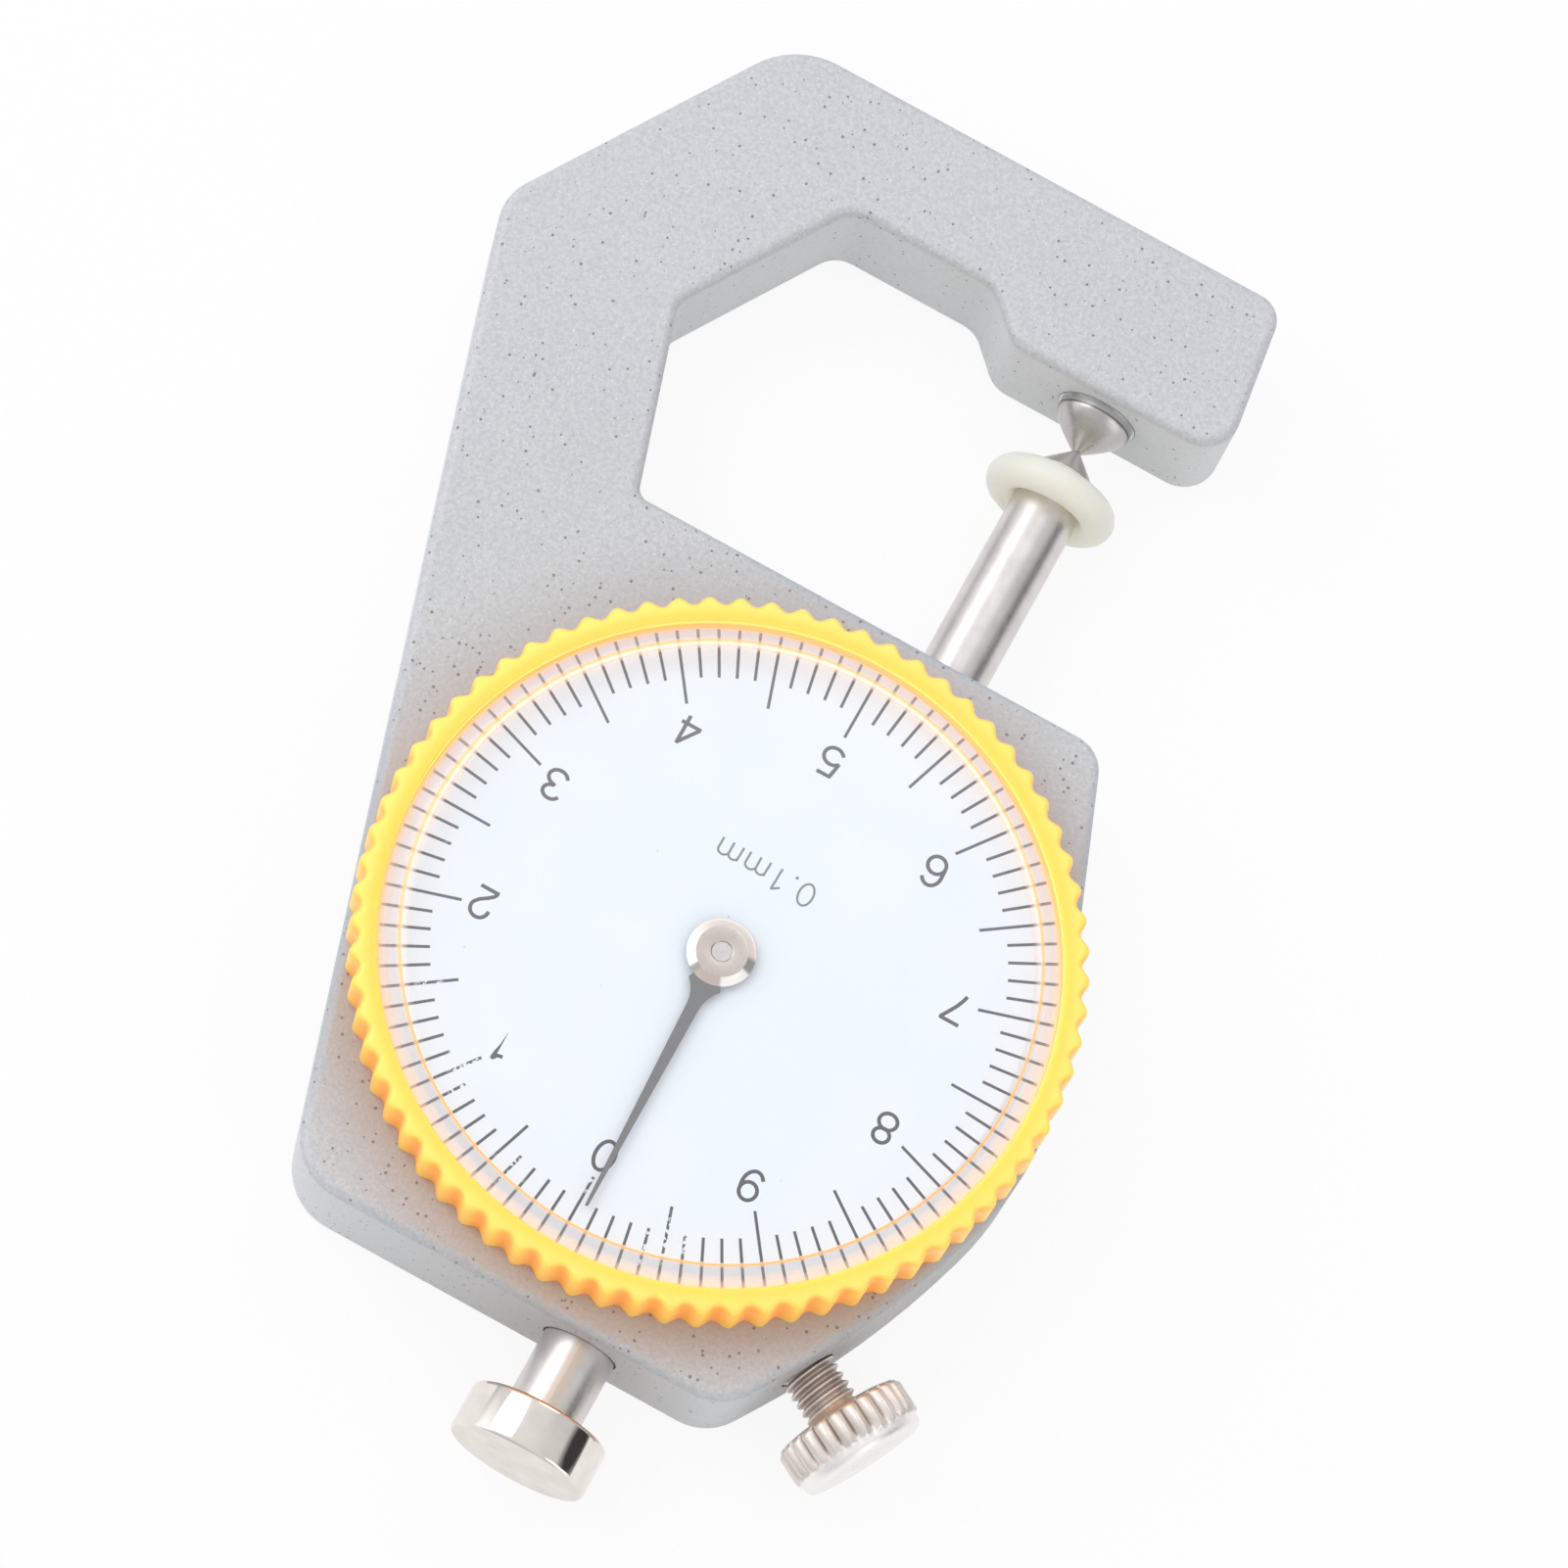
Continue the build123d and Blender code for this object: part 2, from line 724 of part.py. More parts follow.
def make_lock_screw():
    """Thumb screw: a stud, and a fluted head whose outer rim is left smooth and rounded."""
    head = rod(lock_line, lock_head_radius, lock_head_start, lock_flute_end)
    section = make_face(
        Polyline(
            (lock_head_radius - lock_flute_depth, 0),
            (lock_head_radius + lock_flute_depth, lock_flute_spread),
            (lock_head_radius + lock_flute_depth, -lock_flute_spread),
            close=True,
        )
    )
    flute = Pos(0, 0, lock_head_start) * extrude(section, lock_flute_end - lock_head_start)
    head -= [lock_line * Rot(0, 0, step * 360 / lock_flutes) * flute for step in range(lock_flutes)]
    rim = rod(lock_line, lock_rim_radius, lock_flute_end, lock_head_end)
    outer_face = rim.faces().sort_by(Axis((0, 0, 0), lock_way))[-1]
    rim = fillet(outer_face.edges(), lock_rim_rounding)
    return head + rim + rod(lock_line, lock_stud_radius, lock_stud_end, lock_head_start)


def make_lock_plug():
    """Soft plug ahead of the screw, its nose cut to lie flat along the spindle."""
    plug = rod(lock_line, lock_stud_radius, lock_bore_start, lock_plug_start)
    nose_x = spindle_x + rack_rod_radius + lock_plug_gap
    return plug & Pos(nose_x, 0, 0) * Box(far, far, far, align=(Align.MIN, Align.CENTER, Align.CENTER))


nodes = {
    "frame_body": make_frame_body,
    "fixed_anvil": make_fixed_anvil,
    "spindle": make_spindle,
    "bumper_ring": make_bumper_ring,
    "pull_knob": make_pull_knob,
    "upper_bush": make_upper_bush,
    "lower_bush": make_lower_bush,
    "guide_pin": make_guide_pin,
    "spring_pin": make_spring_pin,
    "spring_post": make_spring_post,
    "return_spring": make_return_spring,
    "pinion_arbor": make_pinion_arbor,
    "pivot_bush": make_pivot_bush,
    "movement_plate": make_movement_plate,
    "movement_screws": make_movement_screws,
    "hairspring": make_hairspring,
    "hairspring_collet": make_hairspring_collet,
    "hairspring_stud": make_hairspring_stud,
    "bezel": make_bezel,
    "bezel_clip": make_bezel_clip,
    "crystal": make_crystal,
    "dial_plate": make_dial_plate,
    "pointer_blade": make_pointer_blade,
    "pointer_hub": make_pointer_hub,
    "lock_screw": make_lock_screw,
    "lock_plug": make_lock_plug,
}

os.makedirs("parts", exist_ok=True)
for name, make in nodes.items():
    made = make()
    if isinstance(made, list):
        made = Compound(children=made)
    export_step(made, f"parts/{name}.step")
    print(name, round(made.volume, 3))
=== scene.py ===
from math import atan2, cos, hypot, pi, radians, sin

import bmesh
import bpy
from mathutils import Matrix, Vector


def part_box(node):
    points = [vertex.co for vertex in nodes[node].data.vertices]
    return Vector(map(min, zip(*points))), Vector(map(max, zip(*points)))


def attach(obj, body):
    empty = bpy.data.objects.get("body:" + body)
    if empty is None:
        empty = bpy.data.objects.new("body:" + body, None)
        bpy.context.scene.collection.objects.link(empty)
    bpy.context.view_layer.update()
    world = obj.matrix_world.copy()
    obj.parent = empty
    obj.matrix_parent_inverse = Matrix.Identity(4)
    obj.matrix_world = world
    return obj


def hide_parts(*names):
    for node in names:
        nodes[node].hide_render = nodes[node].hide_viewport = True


# Looks of the dial thickness gauge. Sizes are in millimetres and become metres where a mesh is made
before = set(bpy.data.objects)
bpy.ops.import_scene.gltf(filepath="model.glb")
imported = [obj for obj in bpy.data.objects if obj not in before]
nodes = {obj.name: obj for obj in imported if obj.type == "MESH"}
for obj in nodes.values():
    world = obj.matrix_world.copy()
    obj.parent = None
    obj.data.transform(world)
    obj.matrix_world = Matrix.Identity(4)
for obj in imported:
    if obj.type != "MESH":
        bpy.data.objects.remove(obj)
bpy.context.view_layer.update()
mm = 0.001

# The lines that the turned pieces stand on: where each starts, and how its own Z is turned
upright = {"start": (0, 0, 0), "turn": (0, 0, 0)}
spindleLine = {"start": (3.35, 0, 3.85), "turn": (0, 90, 90)}
lockLine = {"start": (14.4, -15.6, 3.85), "turn": (0, 90, -29)}
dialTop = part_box("dial_plate")[1].z / mm
# Ramps over the dial and the bezel have their places as shares of this radius
rampRadius = 20
# The way across the part that some tints and painted shades and reflections grow along, from the knob's side to the
# anvil's, and how much for each mm
tintWay = {"towards": (-0.468, 0.884, 0), "spread": 0.025}


def deselectAll():
    bpy.ops.object.select_all(action="DESELECT")


def useOnly(piece):
    deselectAll()
    piece.select_set(True)
    bpy.context.view_layer.objects.active = piece


def selectVerts(piece, test):  # in edit mode, picks the vertices whose place passes the test
    shape = bmesh.from_edit_mesh(piece.data)
    for vert in shape.verts:
        vert.select_set(test(vert.co))
    shape.select_flush_mode()
    bmesh.update_edit_mesh(piece.data)


def phaseOf(place, waves, perWave):  # steps round the Z axis to the nearest crest, on a rim of equal waves
    turn = atan2(place.y, place.x) % (2 * pi)
    index = round(turn * waves * perWave / (2 * pi)) % perWave
    return min(index, perWave - index)


def resizeRound(ratio):
    bpy.ops.transform.resize(value=(ratio, ratio, 1), center_override=(0, 0, 0))


def turnPiece(name, profile, around, hollow=False):
    # profile holds (radius, height) stations, and around the vertices of a ring; a hollow one ends where it starts
    deselectAll()
    radius, height = profile[0]
    bpy.ops.mesh.primitive_circle_add(
        vertices=around, radius=radius * mm, fill_type="NOTHING" if hollow else "NGON", location=(0, 0, height * mm)
    )
    piece = bpy.context.object
    piece.name = name
    bpy.ops.object.transform_apply(location=True, rotation=True, scale=True)
    bpy.ops.object.mode_set(mode="EDIT")
    bpy.ops.mesh.select_all(action="SELECT")
    for (radius, height), (nextRadius, nextHeight) in zip(profile, profile[1:]):
        rise = {"value": (0, 0, (nextHeight - height) * mm)}
        if hollow:
            bpy.ops.mesh.extrude_edges_move(TRANSFORM_OT_translate=rise)
        else:
            bpy.ops.mesh.extrude_region_move(TRANSFORM_OT_translate=rise)
        resizeRound(nextRadius / radius)
    bpy.ops.mesh.select_all(action="SELECT")
    bpy.ops.mesh.remove_doubles(threshold=0.0005 * mm)
    bpy.ops.mesh.normals_make_consistent(inside=False)
    bpy.ops.object.mode_set(mode="OBJECT")
    return piece


def bevelEdges(piece, width, steps, angle):
    useOnly(piece)
    bpy.ops.object.modifier_add(type="BEVEL")
    bevel = piece.modifiers[-1]
    bevel.width = width * mm
    bevel.segments = steps
    bevel.limit_method = "ANGLE"
    bevel.angle_limit = radians(angle)
    bpy.ops.object.modifier_apply(modifier=bevel.name)


def placeOn(piece, line):  # puts a piece made round its own Z on one of the lines
    useOnly(piece)
    piece.rotation_euler = [radians(turn) for turn in line["turn"]]
    piece.location = [place * mm for place in line["start"]]
    bpy.ops.object.transform_apply(location=True, rotation=True, scale=True)


def smooth(piece, angle):
    useOnly(piece)
    bpy.ops.object.shade_smooth_by_angle(angle=radians(angle))


def dress(piece, material, body, slot, *replaced):
    piece.data.materials.clear()
    piece.data.materials.append(material)
    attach(piece, body)
    if replaced:
        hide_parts(*replaced)


# Materials: small helpers for nodes
def startMaterial(name):
    material = bpy.data.materials.new(name)
    material.use_nodes = True
    tree = material.node_tree
    return material, tree, tree.nodes["Principled BSDF"]


def setShader(shader, **values):  # metallic=1 sets the socket named Metallic, coat_weight=1 the Coat Weight
    for key, value in values.items():
        shader.inputs[key.replace("_", " ").title().replace("Ior", "IOR")].default_value = value


def placeCoords(tree, line=upright):
    coords = tree.nodes.new("ShaderNodeTexCoord")
    place = tree.nodes.new("ShaderNodeMapping")
    place.vector_type = "TEXTURE"
    place.inputs["Location"].default_value = [start * mm for start in line["start"]]
    place.inputs["Rotation"].default_value = [radians(turn) for turn in line["turn"]]
    tree.links.new(coords.outputs["Object"], place.inputs["Vector"])
    return place.outputs["Vector"]


def stretch(tree, vector, x, y, z):
    scaled = tree.nodes.new("ShaderNodeVectorMath")
    scaled.operation = "MULTIPLY"
    scaled.inputs[1].default_value = (x, y, z)
    tree.links.new(vector, scaled.inputs[0])
    return scaled.outputs["Vector"]


def noise(tree, vector, grain, detail):  # grain is the size of a patch in millimetres
    texture = tree.nodes.new("ShaderNodeTexNoise")
    texture.inputs["Scale"].default_value = 1 / (grain * mm)
    texture.inputs["Detail"].default_value = detail
    tree.links.new(vector, texture.inputs["Vector"])
    return texture.outputs["Fac"]


def ramp(tree, factor, *stops):  # stops are (place, value or colour)
    node = tree.nodes.new("ShaderNodeValToRGB")
    node.color_ramp.elements.remove(node.color_ramp.elements[1])
    for index, (place, value) in enumerate(stops):
        colour = (*value, 1) if hasattr(value, "__len__") else (value, value, value, 1)
        stop = node.color_ramp.elements[0] if index == 0 else node.color_ramp.elements.new(place)
        stop.position = place
        stop.color = colour
    tree.links.new(factor, node.inputs["Fac"])
    return node.outputs["Color"]


def calculate(tree, operation, first, second):
    node = tree.nodes.new("ShaderNodeMath")
    node.operation = operation
    for socket, value in zip(node.inputs, (first, second)):
        if isinstance(value, (int, float)):
            socket.default_value = value
        else:
            tree.links.new(value, socket)
    return node.outputs["Value"]


def mixColours(tree, factor, first, second, blend="MIX"):
    node = tree.nodes.new("ShaderNodeMix")
    node.data_type = "RGBA"
    node.blend_type = blend
    for socket, value in zip((node.inputs[0], node.inputs[6], node.inputs[7]), (factor, first, second)):
        if isinstance(value, (int, float)):
            socket.default_value = value
        elif isinstance(value, tuple):
            socket.default_value = (*value, 1)
        else:
            tree.links.new(value, socket)
    return node.outputs[2]


def radiusOf(tree, vector):  # distance from the line that the coordinates stand on, in millimetres
    flat = tree.nodes.new("ShaderNodeVectorMath")
    flat.operation = "LENGTH"
    tree.links.new(stretch(tree, vector, 1 / mm, 1 / mm, 0), flat.inputs[0])
    return flat.outputs["Value"]


def heightOf(tree, vector):  # how far along the line, in millimetres
    split = tree.nodes.new("ShaderNodeSeparateXYZ")
    tree.links.new(stretch(tree, vector, 1 / mm, 1 / mm, 1 / mm), split.inputs[0])
    return split.outputs["Z"]


def radiusShare(tree, vector, whole):
    return calculate(tree, "DIVIDE", radiusOf(tree, vector), whole)


def heightShare(tree, vector, whole):
    return calculate(tree, "DIVIDE", heightOf(tree, vector), whole)


def upperShare(tree, vector, low, high):  # grows from 0 to 1 across the part, and is 0.5 at the dial's middle
    spread = tintWay["spread"] / mm
    across = tree.nodes.new("ShaderNodeVectorMath")
    across.operation = "DOT_PRODUCT"
    across.inputs[1].default_value = tintWay["towards"]
    tree.links.new(stretch(tree, vector, spread, spread, 0), across.inputs[0])
    return ramp(tree, calculate(tree, "ADD", across.outputs["Value"], 0.5), (low, 0.0), (high, 1.0))


def zoneAlong(tree, line, low, high):  # 1 between two places along the line and 0 beyond them
    share = calculate(tree, "SUBTRACT", heightOf(tree, placeCoords(tree, line)), low)
    share = calculate(tree, "DIVIDE", share, high - low)
    return ramp(tree, share, (0.0, 0.0), (0.1, 1.0), (0.9, 1.0), (1.0, 0.0))


def blendInto(material, socketName, factor, value):  # lays a colour or a roughness over what a socket has
    tree = material.node_tree
    socket = tree.nodes["Principled BSDF"].inputs[socketName]
    below = socket.links[0].from_socket
    tree.links.new(mixColours(tree, factor, below, value), socket)


def roughen(tree, shader, height, depth):  # depth is the height of the bumps in millimetres
    bump = tree.nodes.new("ShaderNodeBump")
    bump.inputs["Strength"].default_value = 1
    bump.inputs["Distance"].default_value = depth * mm
    tree.links.new(height, bump.inputs["Height"])
    tree.links.new(bump.outputs["Normal"], shader.inputs["Normal"])


def paintedCasting():
    look = {
        "pale": (0.605, 0.63, 0.66), "dark": (0.53, 0.55, 0.575), "fleckAndWallHighlight": (0.80, 0.82, 0.83),
        "warmReflection": (0.45, 0.41, 0.39), "shade": (0.40, 0.47, 0.56), "hole": (0.28, 0.28, 0.285),
        "grain": 0.24, "patch": 9, "fleckGrain": 0.12, "cell": 0.41, "crowding": 0.4, "bump": 0.045,
    }
    material, tree, shader = startMaterial("paintedCasting")
    coords = placeCoords(tree)
    grain = noise(tree, coords, look["grain"], 3)
    patches = noise(tree, coords, look["patch"], 2)
    colour = ramp(tree, grain, (0.34, look["dark"]), (0.60, look["pale"]))
    flecks = ramp(tree, noise(tree, coords, look["fleckGrain"], 1), (0.63, 0.0), (0.75, 0.6))
    # Painted highlight: below the top face the walls are painted halfway to the pale fleck colour, so they look lit
    paintedWallHighlight = ramp(tree, heightShare(tree, coords, 10), (0.66, 0.5), (0.70, 0.0))
    colour = mixColours(tree, calculate(tree, "MAXIMUM", flecks, paintedWallHighlight), colour, look["fleckAndWallHighlight"])
    # Beside the bezel the paint is darkened by a painted shade, which on the knob's side is a painted warm reflection
    # of the yellow bezel; the paint there also has more pinholes
    nearBezel = ramp(tree, radiusShare(tree, coords, 30), (0.64, 0.6), (0.77, 0.0))
    paintedLightTint = mixColours(tree, upperShare(tree, coords, 0.0, 1.2), look["warmReflection"], look["shade"])
    colour = mixColours(tree, nearBezel, colour, paintedLightTint)
    cells = tree.nodes.new("ShaderNodeTexVoronoi")
    cells.inputs["Scale"].default_value = 1 / (look["cell"] * mm)
    cells.inputs["Randomness"].default_value = 1
    tree.links.new(coords, cells.inputs["Vector"])
    split = tree.nodes.new("ShaderNodeSeparateColor")
    tree.links.new(cells.outputs["Color"], split.inputs["Color"])
    crowding = calculate(tree, "MULTIPLY", nearBezel, look["crowding"])
    crowding = calculate(tree, "ADD", split.outputs["Red"], crowding)
    holeSize = ramp(tree, crowding, (0.30, 0.0), (1.0, 0.22))
    depthInHole = calculate(tree, "SUBTRACT", holeSize, cells.outputs["Distance"])
    holes = ramp(tree, depthInHole, (0.0, 0.0), (0.07, 1.0))
    colour = mixColours(tree, holes, colour, look["hole"])
    tree.links.new(colour, shader.inputs["Base Color"])
    setShader(shader, metallic=0.15, specular_ior_level=0.4)
    tree.links.new(ramp(tree, patches, (0.3, 0.52), (0.7, 0.66)), shader.inputs["Roughness"])
    height = calculate(tree, "SUBTRACT", calculate(tree, "ADD", grain, patches), holes)
    roughen(tree, shader, height, look["bump"])
    return material


def yellowPlastic():
    look = {
        "inner": (1.0, 0.72, 0.125), "crest": (1.0, 0.83, 0.21), "wall": (1.0, 0.50, 0.07),
        "hollow": (1.0, 0.36, 0.05), "bore": (1.0, 0.70, 0.20), "mottle": (1.0, 0.75, 0.2), "mottling": 0.12,
        "wallGlow": 0.34, "boreGlow": 0.5, "leastGlow": 0.06,
    }
    material, tree, shader = startMaterial("yellowPlastic")
    coords = placeCoords(tree)
    reach = radiusShare(tree, coords, rampRadius)
    height = heightShare(tree, coords, rampRadius)
    # Painted shade: the side wall is painted orange, and the hollows between the scallops a deeper orange, where they
    # stand in shade
    hollowShade = ramp(tree, reach, (0.915, 0.0), (0.930, 1.0), (0.9475, 0.0))
    onWall = ramp(tree, height, (0.5175, 1.0), (0.5325, 0.0))
    belowTop = ramp(tree, height, (0.526, 1.0), (0.531, 0.0))
    onBore = calculate(tree, "MULTIPLY", ramp(tree, reach, (0.880, 1.0), (0.888, 0.0)), belowTop)
    mottle = calculate(tree, "MULTIPLY", noise(tree, coords, 1.5, 3), look["mottling"])
    # Painted highlight: the top is painted lighter from its inner edge out to the crests
    colour = ramp(tree, reach, (0.895, look["inner"]), (0.925, look["crest"]))
    colour = mixColours(tree, onWall, colour, look["wall"])
    colour = mixColours(tree, calculate(tree, "MULTIPLY", hollowShade, onWall), colour, look["hollow"])
    # Painted light: the bore under the lip is painted a pale orange against its shade
    colour = mixColours(tree, onBore, colour, look["bore"])
    colour = mixColours(tree, mottle, colour, look["mottle"])
    tree.links.new(colour, shader.inputs["Base Color"])
    # A painted glow stands for the light that comes through the plastic, most of all in its thin walls, and lights
    # the bore under the lip that sits in shade
    tree.links.new(colour, shader.inputs["Emission Color"])
    wallGlow = calculate(tree, "MULTIPLY", onWall, look["wallGlow"])
    boreGlow = calculate(tree, "MULTIPLY", onBore, look["boreGlow"])
    glow = calculate(tree, "MAXIMUM", calculate(tree, "MAXIMUM", wallGlow, boreGlow), look["leastGlow"])
    tree.links.new(glow, shader.inputs["Emission Strength"])
    setShader(shader, specular_ior_level=0.5, subsurface_weight=0.85, subsurface_scale=0.002)
    shader.inputs["Subsurface Radius"].default_value = (1.0, 0.6, 0.2)
    tree.links.new(ramp(tree, noise(tree, coords, 0.4, 4), (0.3, 0.30), (0.7, 0.42)), shader.inputs["Roughness"])
    roughen(tree, shader, noise(tree, coords, 0.25, 3), 0.004)
    return material


def clearPlastic():
    look = {"leastCover": 0.03, "slope": 0.6, "outerFace": 20.28}
    material, tree, shader = startMaterial("clearPlastic")
    coords = placeCoords(tree)
    radius = radiusOf(tree, coords)
    reach = calculate(tree, "DIVIDE", radius, rampRadius)
    # Painted reflections and shade: thin orange lines and grey and pink bands where the bevel would mirror the yellow
    # bezel and the shade under its lip, laid out differently on the two sides of the dial
    lowerPaintedReflections = ramp(
        tree, reach, (0.818, (0.95, 0.97, 1.0)), (0.8205, (1.0, 0.46, 0.11)), (0.8265, (1.0, 0.46, 0.09)),
        (0.829, (0.75, 0.76, 0.80)), (0.855, (0.77, 0.76, 0.79)), (0.862, (1.0, 0.80, 0.76)),
        (0.878, (1.0, 0.78, 0.66)),
    )
    upperPaintedReflections = ramp(
        tree, reach, (0.803, (0.95, 0.97, 1.0)), (0.8065, (1.0, 0.60, 0.45)), (0.8115, (1.0, 0.60, 0.45)),
        (0.8135, (1.0, 0.86, 0.69)), (0.8195, (1.0, 0.86, 0.69)), (0.8215, (1.0, 0.58, 0.18)),
        (0.829, (1.0, 0.58, 0.18)), (0.8345, (0.92, 0.80, 0.82)), (0.858, (0.92, 0.78, 0.80)),
        (0.868, (1.0, 0.72, 0.5)), (0.880, (1.0, 0.60, 0.25)),
    )
    upper = upperShare(tree, coords, 0.3, 0.7)
    colour = mixColours(tree, upper, lowerPaintedReflections, upperPaintedReflections)
    tree.links.new(colour, shader.inputs["Base Color"])
    tree.links.new(colour, shader.inputs["Emission Color"])
    lowerCover = ramp(
        tree, reach, (0.818, 0.03), (0.8205, 0.9), (0.8265, 0.9), (0.829, 0.15), (0.855, 0.15), (0.862, 0.32),
        (0.878, 0.5),
    )
    upperCover = ramp(
        tree, reach, (0.803, 0.03), (0.8065, 0.5), (0.8115, 0.55), (0.8135, 0.85), (0.8195, 0.85), (0.8215, 0.75),
        (0.829, 0.7), (0.8345, 0.2), (0.862, 0.25), (0.872, 0.5), (0.880, 0.8),
    )
    # Only the outer face carries the painted reflections: it is the one that stands above this slope
    slope = calculate(tree, "ADD", heightOf(tree, coords), calculate(tree, "MULTIPLY", radius, look["slope"]))
    outside = calculate(tree, "GREATER_THAN", slope, look["outerFace"])
    cover = calculate(tree, "MULTIPLY", mixColours(tree, upper, lowerCover, upperCover), outside)
    tree.links.new(calculate(tree, "MAXIMUM", cover, look["leastCover"]), shader.inputs["Alpha"])
    # Painted glow: the crystal glows faintly in these colours
    setShader(shader, specular_ior_level=0.5, ior=1.49, emission_strength=0.25)
    tree.links.new(ramp(tree, noise(tree, coords, 3, 4), (0.3, 0.02), (0.7, 0.06)), shader.inputs["Roughness"])
    return material


def dialPaint():
    look = {"dark": (0.82, 0.88, 0.95), "pale": (0.85, 0.90, 0.96), "speck": (0.30, 0.32, 0.36), "dustCell": 3.2}
    material, tree, shader = startMaterial("dialPaint")
    coords = placeCoords(tree)
    colour = ramp(tree, noise(tree, coords, 6, 3), (0.3, look["dark"]), (0.7, look["pale"]))
    dust = tree.nodes.new("ShaderNodeTexVoronoi")
    dust.inputs["Scale"].default_value = 1 / (look["dustCell"] * mm)
    tree.links.new(coords, dust.inputs["Vector"])
    specks = ramp(tree, dust.outputs["Distance"], (0.012, 0.5), (0.022, 0.0))
    colour = mixColours(tree, specks, colour, look["speck"])
    # Painted shade and reflection: under the crystal's bevel the edge is painted grey and pink, for the shade and the
    # yellow bezel that the bevel would show, and a painted glow lightens it there
    reach = radiusShare(tree, coords, rampRadius)
    lowerEdgeShadeAndReflection = ramp(
        tree, reach, (0.808, (1.0, 1.0, 1.0)), (0.814, (0.76, 0.79, 0.83)), (0.835, (0.76, 0.79, 0.83)),
        (0.843, (0.97, 0.86, 0.79)), (0.870, (0.97, 0.84, 0.74)),
    )
    upperEdgeShadeAndReflection = ramp(
        tree, reach, (0.840, (1.0, 1.0, 1.0)), (0.850, (0.85, 0.88, 0.93)), (0.872, (0.84, 0.88, 0.94)),
        (0.880, (1.0, 0.84, 0.62)), (0.888, (1.0, 0.80, 0.42)),
    )
    paintedLightTint = mixColours(tree, upperShare(tree, coords, 0.3, 0.7), lowerEdgeShadeAndReflection, upperEdgeShadeAndReflection)
    colour = mixColours(tree, 1.0, colour, paintedLightTint, "MULTIPLY")
    tree.links.new(colour, shader.inputs["Base Color"])
    tree.links.new(colour, shader.inputs["Emission Color"])
    paintedEdgeGlow = ramp(tree, reach, (0.76, 0.0), (0.82, 0.03), (0.84, 0.05), (0.88, 0.08))
    tree.links.new(paintedEdgeGlow, shader.inputs["Emission Strength"])
    tree.links.new(ramp(tree, noise(tree, coords, 0.8, 2), (0.3, 0.45), (0.7, 0.55)), shader.inputs["Roughness"])
    roughen(tree, shader, noise(tree, coords, 0.1, 2), 0.001)
    return material


def printedInk(name, ink, upperInk, wearPlaces):
    # the print is rubbed pale in a few places, each given as (bearing, radius, reach)
    paper = (0.80, 0.85, 0.90)
    material, tree, shader = startMaterial(name)
    coords = placeCoords(tree)
    colour = ramp(tree, noise(tree, coords, 0.5, 3), (0.3, tuple(0.85 * part for part in ink)), (0.7, ink))
    colour = mixColours(tree, upperShare(tree, coords, 0.2, 0.8), colour, upperInk)
    for turn, radius, reach in wearPlaces:
        away = tree.nodes.new("ShaderNodeVectorMath")
        away.operation = "DISTANCE"
        place = (radius * cos(radians(turn)), radius * sin(radians(turn)), dialTop)
        away.inputs[1].default_value = [part * mm for part in place]
        tree.links.new(coords, away.inputs[0])
        near = ramp(tree, calculate(tree, "DIVIDE", away.outputs["Value"], reach * mm), (0.55, 1.0), (1.0, 0.0))
        rubbed = ramp(tree, noise(tree, coords, 0.2, 2), (0.50, 0.0), (0.55, 1.0))
        colour = mixColours(tree, calculate(tree, "MULTIPLY", near, rubbed), colour, paper)
    tree.links.new(colour, shader.inputs["Base Color"])
    tree.links.new(ramp(tree, noise(tree, coords, 0.3, 2), (0.3, 0.42), (0.7, 0.55)), shader.inputs["Roughness"])
    return material


def metal(name, line, colour, polish, rings=0.0, streaks=0.0, marks=0.15, grit=0.0002):
    # rings are lathe marks round the line, streaks run along it, grit is all over; bump heights in millimetres
    depth, drawnOut = 0.01, 0.02
    material, tree, shader = startMaterial(name)
    coords = placeCoords(tree, line)
    stain = noise(tree, coords, 1.2, 4)
    dull = tuple(0.9 * part for part in colour)
    tree.links.new(ramp(tree, stain, (0.35, dull), (0.65, colour)), shader.inputs["Base Color"])
    setShader(shader, metallic=1.0)
    fine = noise(tree, coords, 0.2, 3)
    tree.links.new(ramp(tree, fine, (0.3, polish), (0.7, polish + marks)), shader.inputs["Roughness"])
    lathe = noise(tree, stretch(tree, coords, drawnOut, drawnOut, 1), 0.06, 2)
    brush = noise(tree, stretch(tree, coords, 1, 1, drawnOut), 0.08, 2)
    lathe = calculate(tree, "MULTIPLY", lathe, rings / depth)
    brush = calculate(tree, "MULTIPLY", brush, streaks / depth)
    specks = calculate(tree, "MULTIPLY", fine, grit / depth)
    roughen(tree, shader, calculate(tree, "ADD", calculate(tree, "ADD", lathe, brush), specks), depth)
    return material


def tintThread(material):  # painted shade: brown flanks between bright crests and roots
    brown = (0.38, 0.29, 0.24)
    tree = material.node_tree
    reach = radiusShare(tree, placeCoords(tree, lockLine), 2)
    flankShade = ramp(tree, reach, (0.615, 0.0), (0.645, 0.7), (0.71, 0.7), (0.735, 0.0))
    onStud = zoneAlong(tree, lockLine, -9.0, 2.3)
    blendInto(material, "Base Color", calculate(tree, "MULTIPLY", flankShade, onStud), brown)


def turnRound(tree, vector):  # how far round the line, growing from 0 to 1 and 0.5 at its own X
    gradient = tree.nodes.new("ShaderNodeTexGradient")
    gradient.gradient_type = "RADIAL"
    tree.links.new(vector, gradient.inputs["Vector"])
    return gradient.outputs["Fac"]


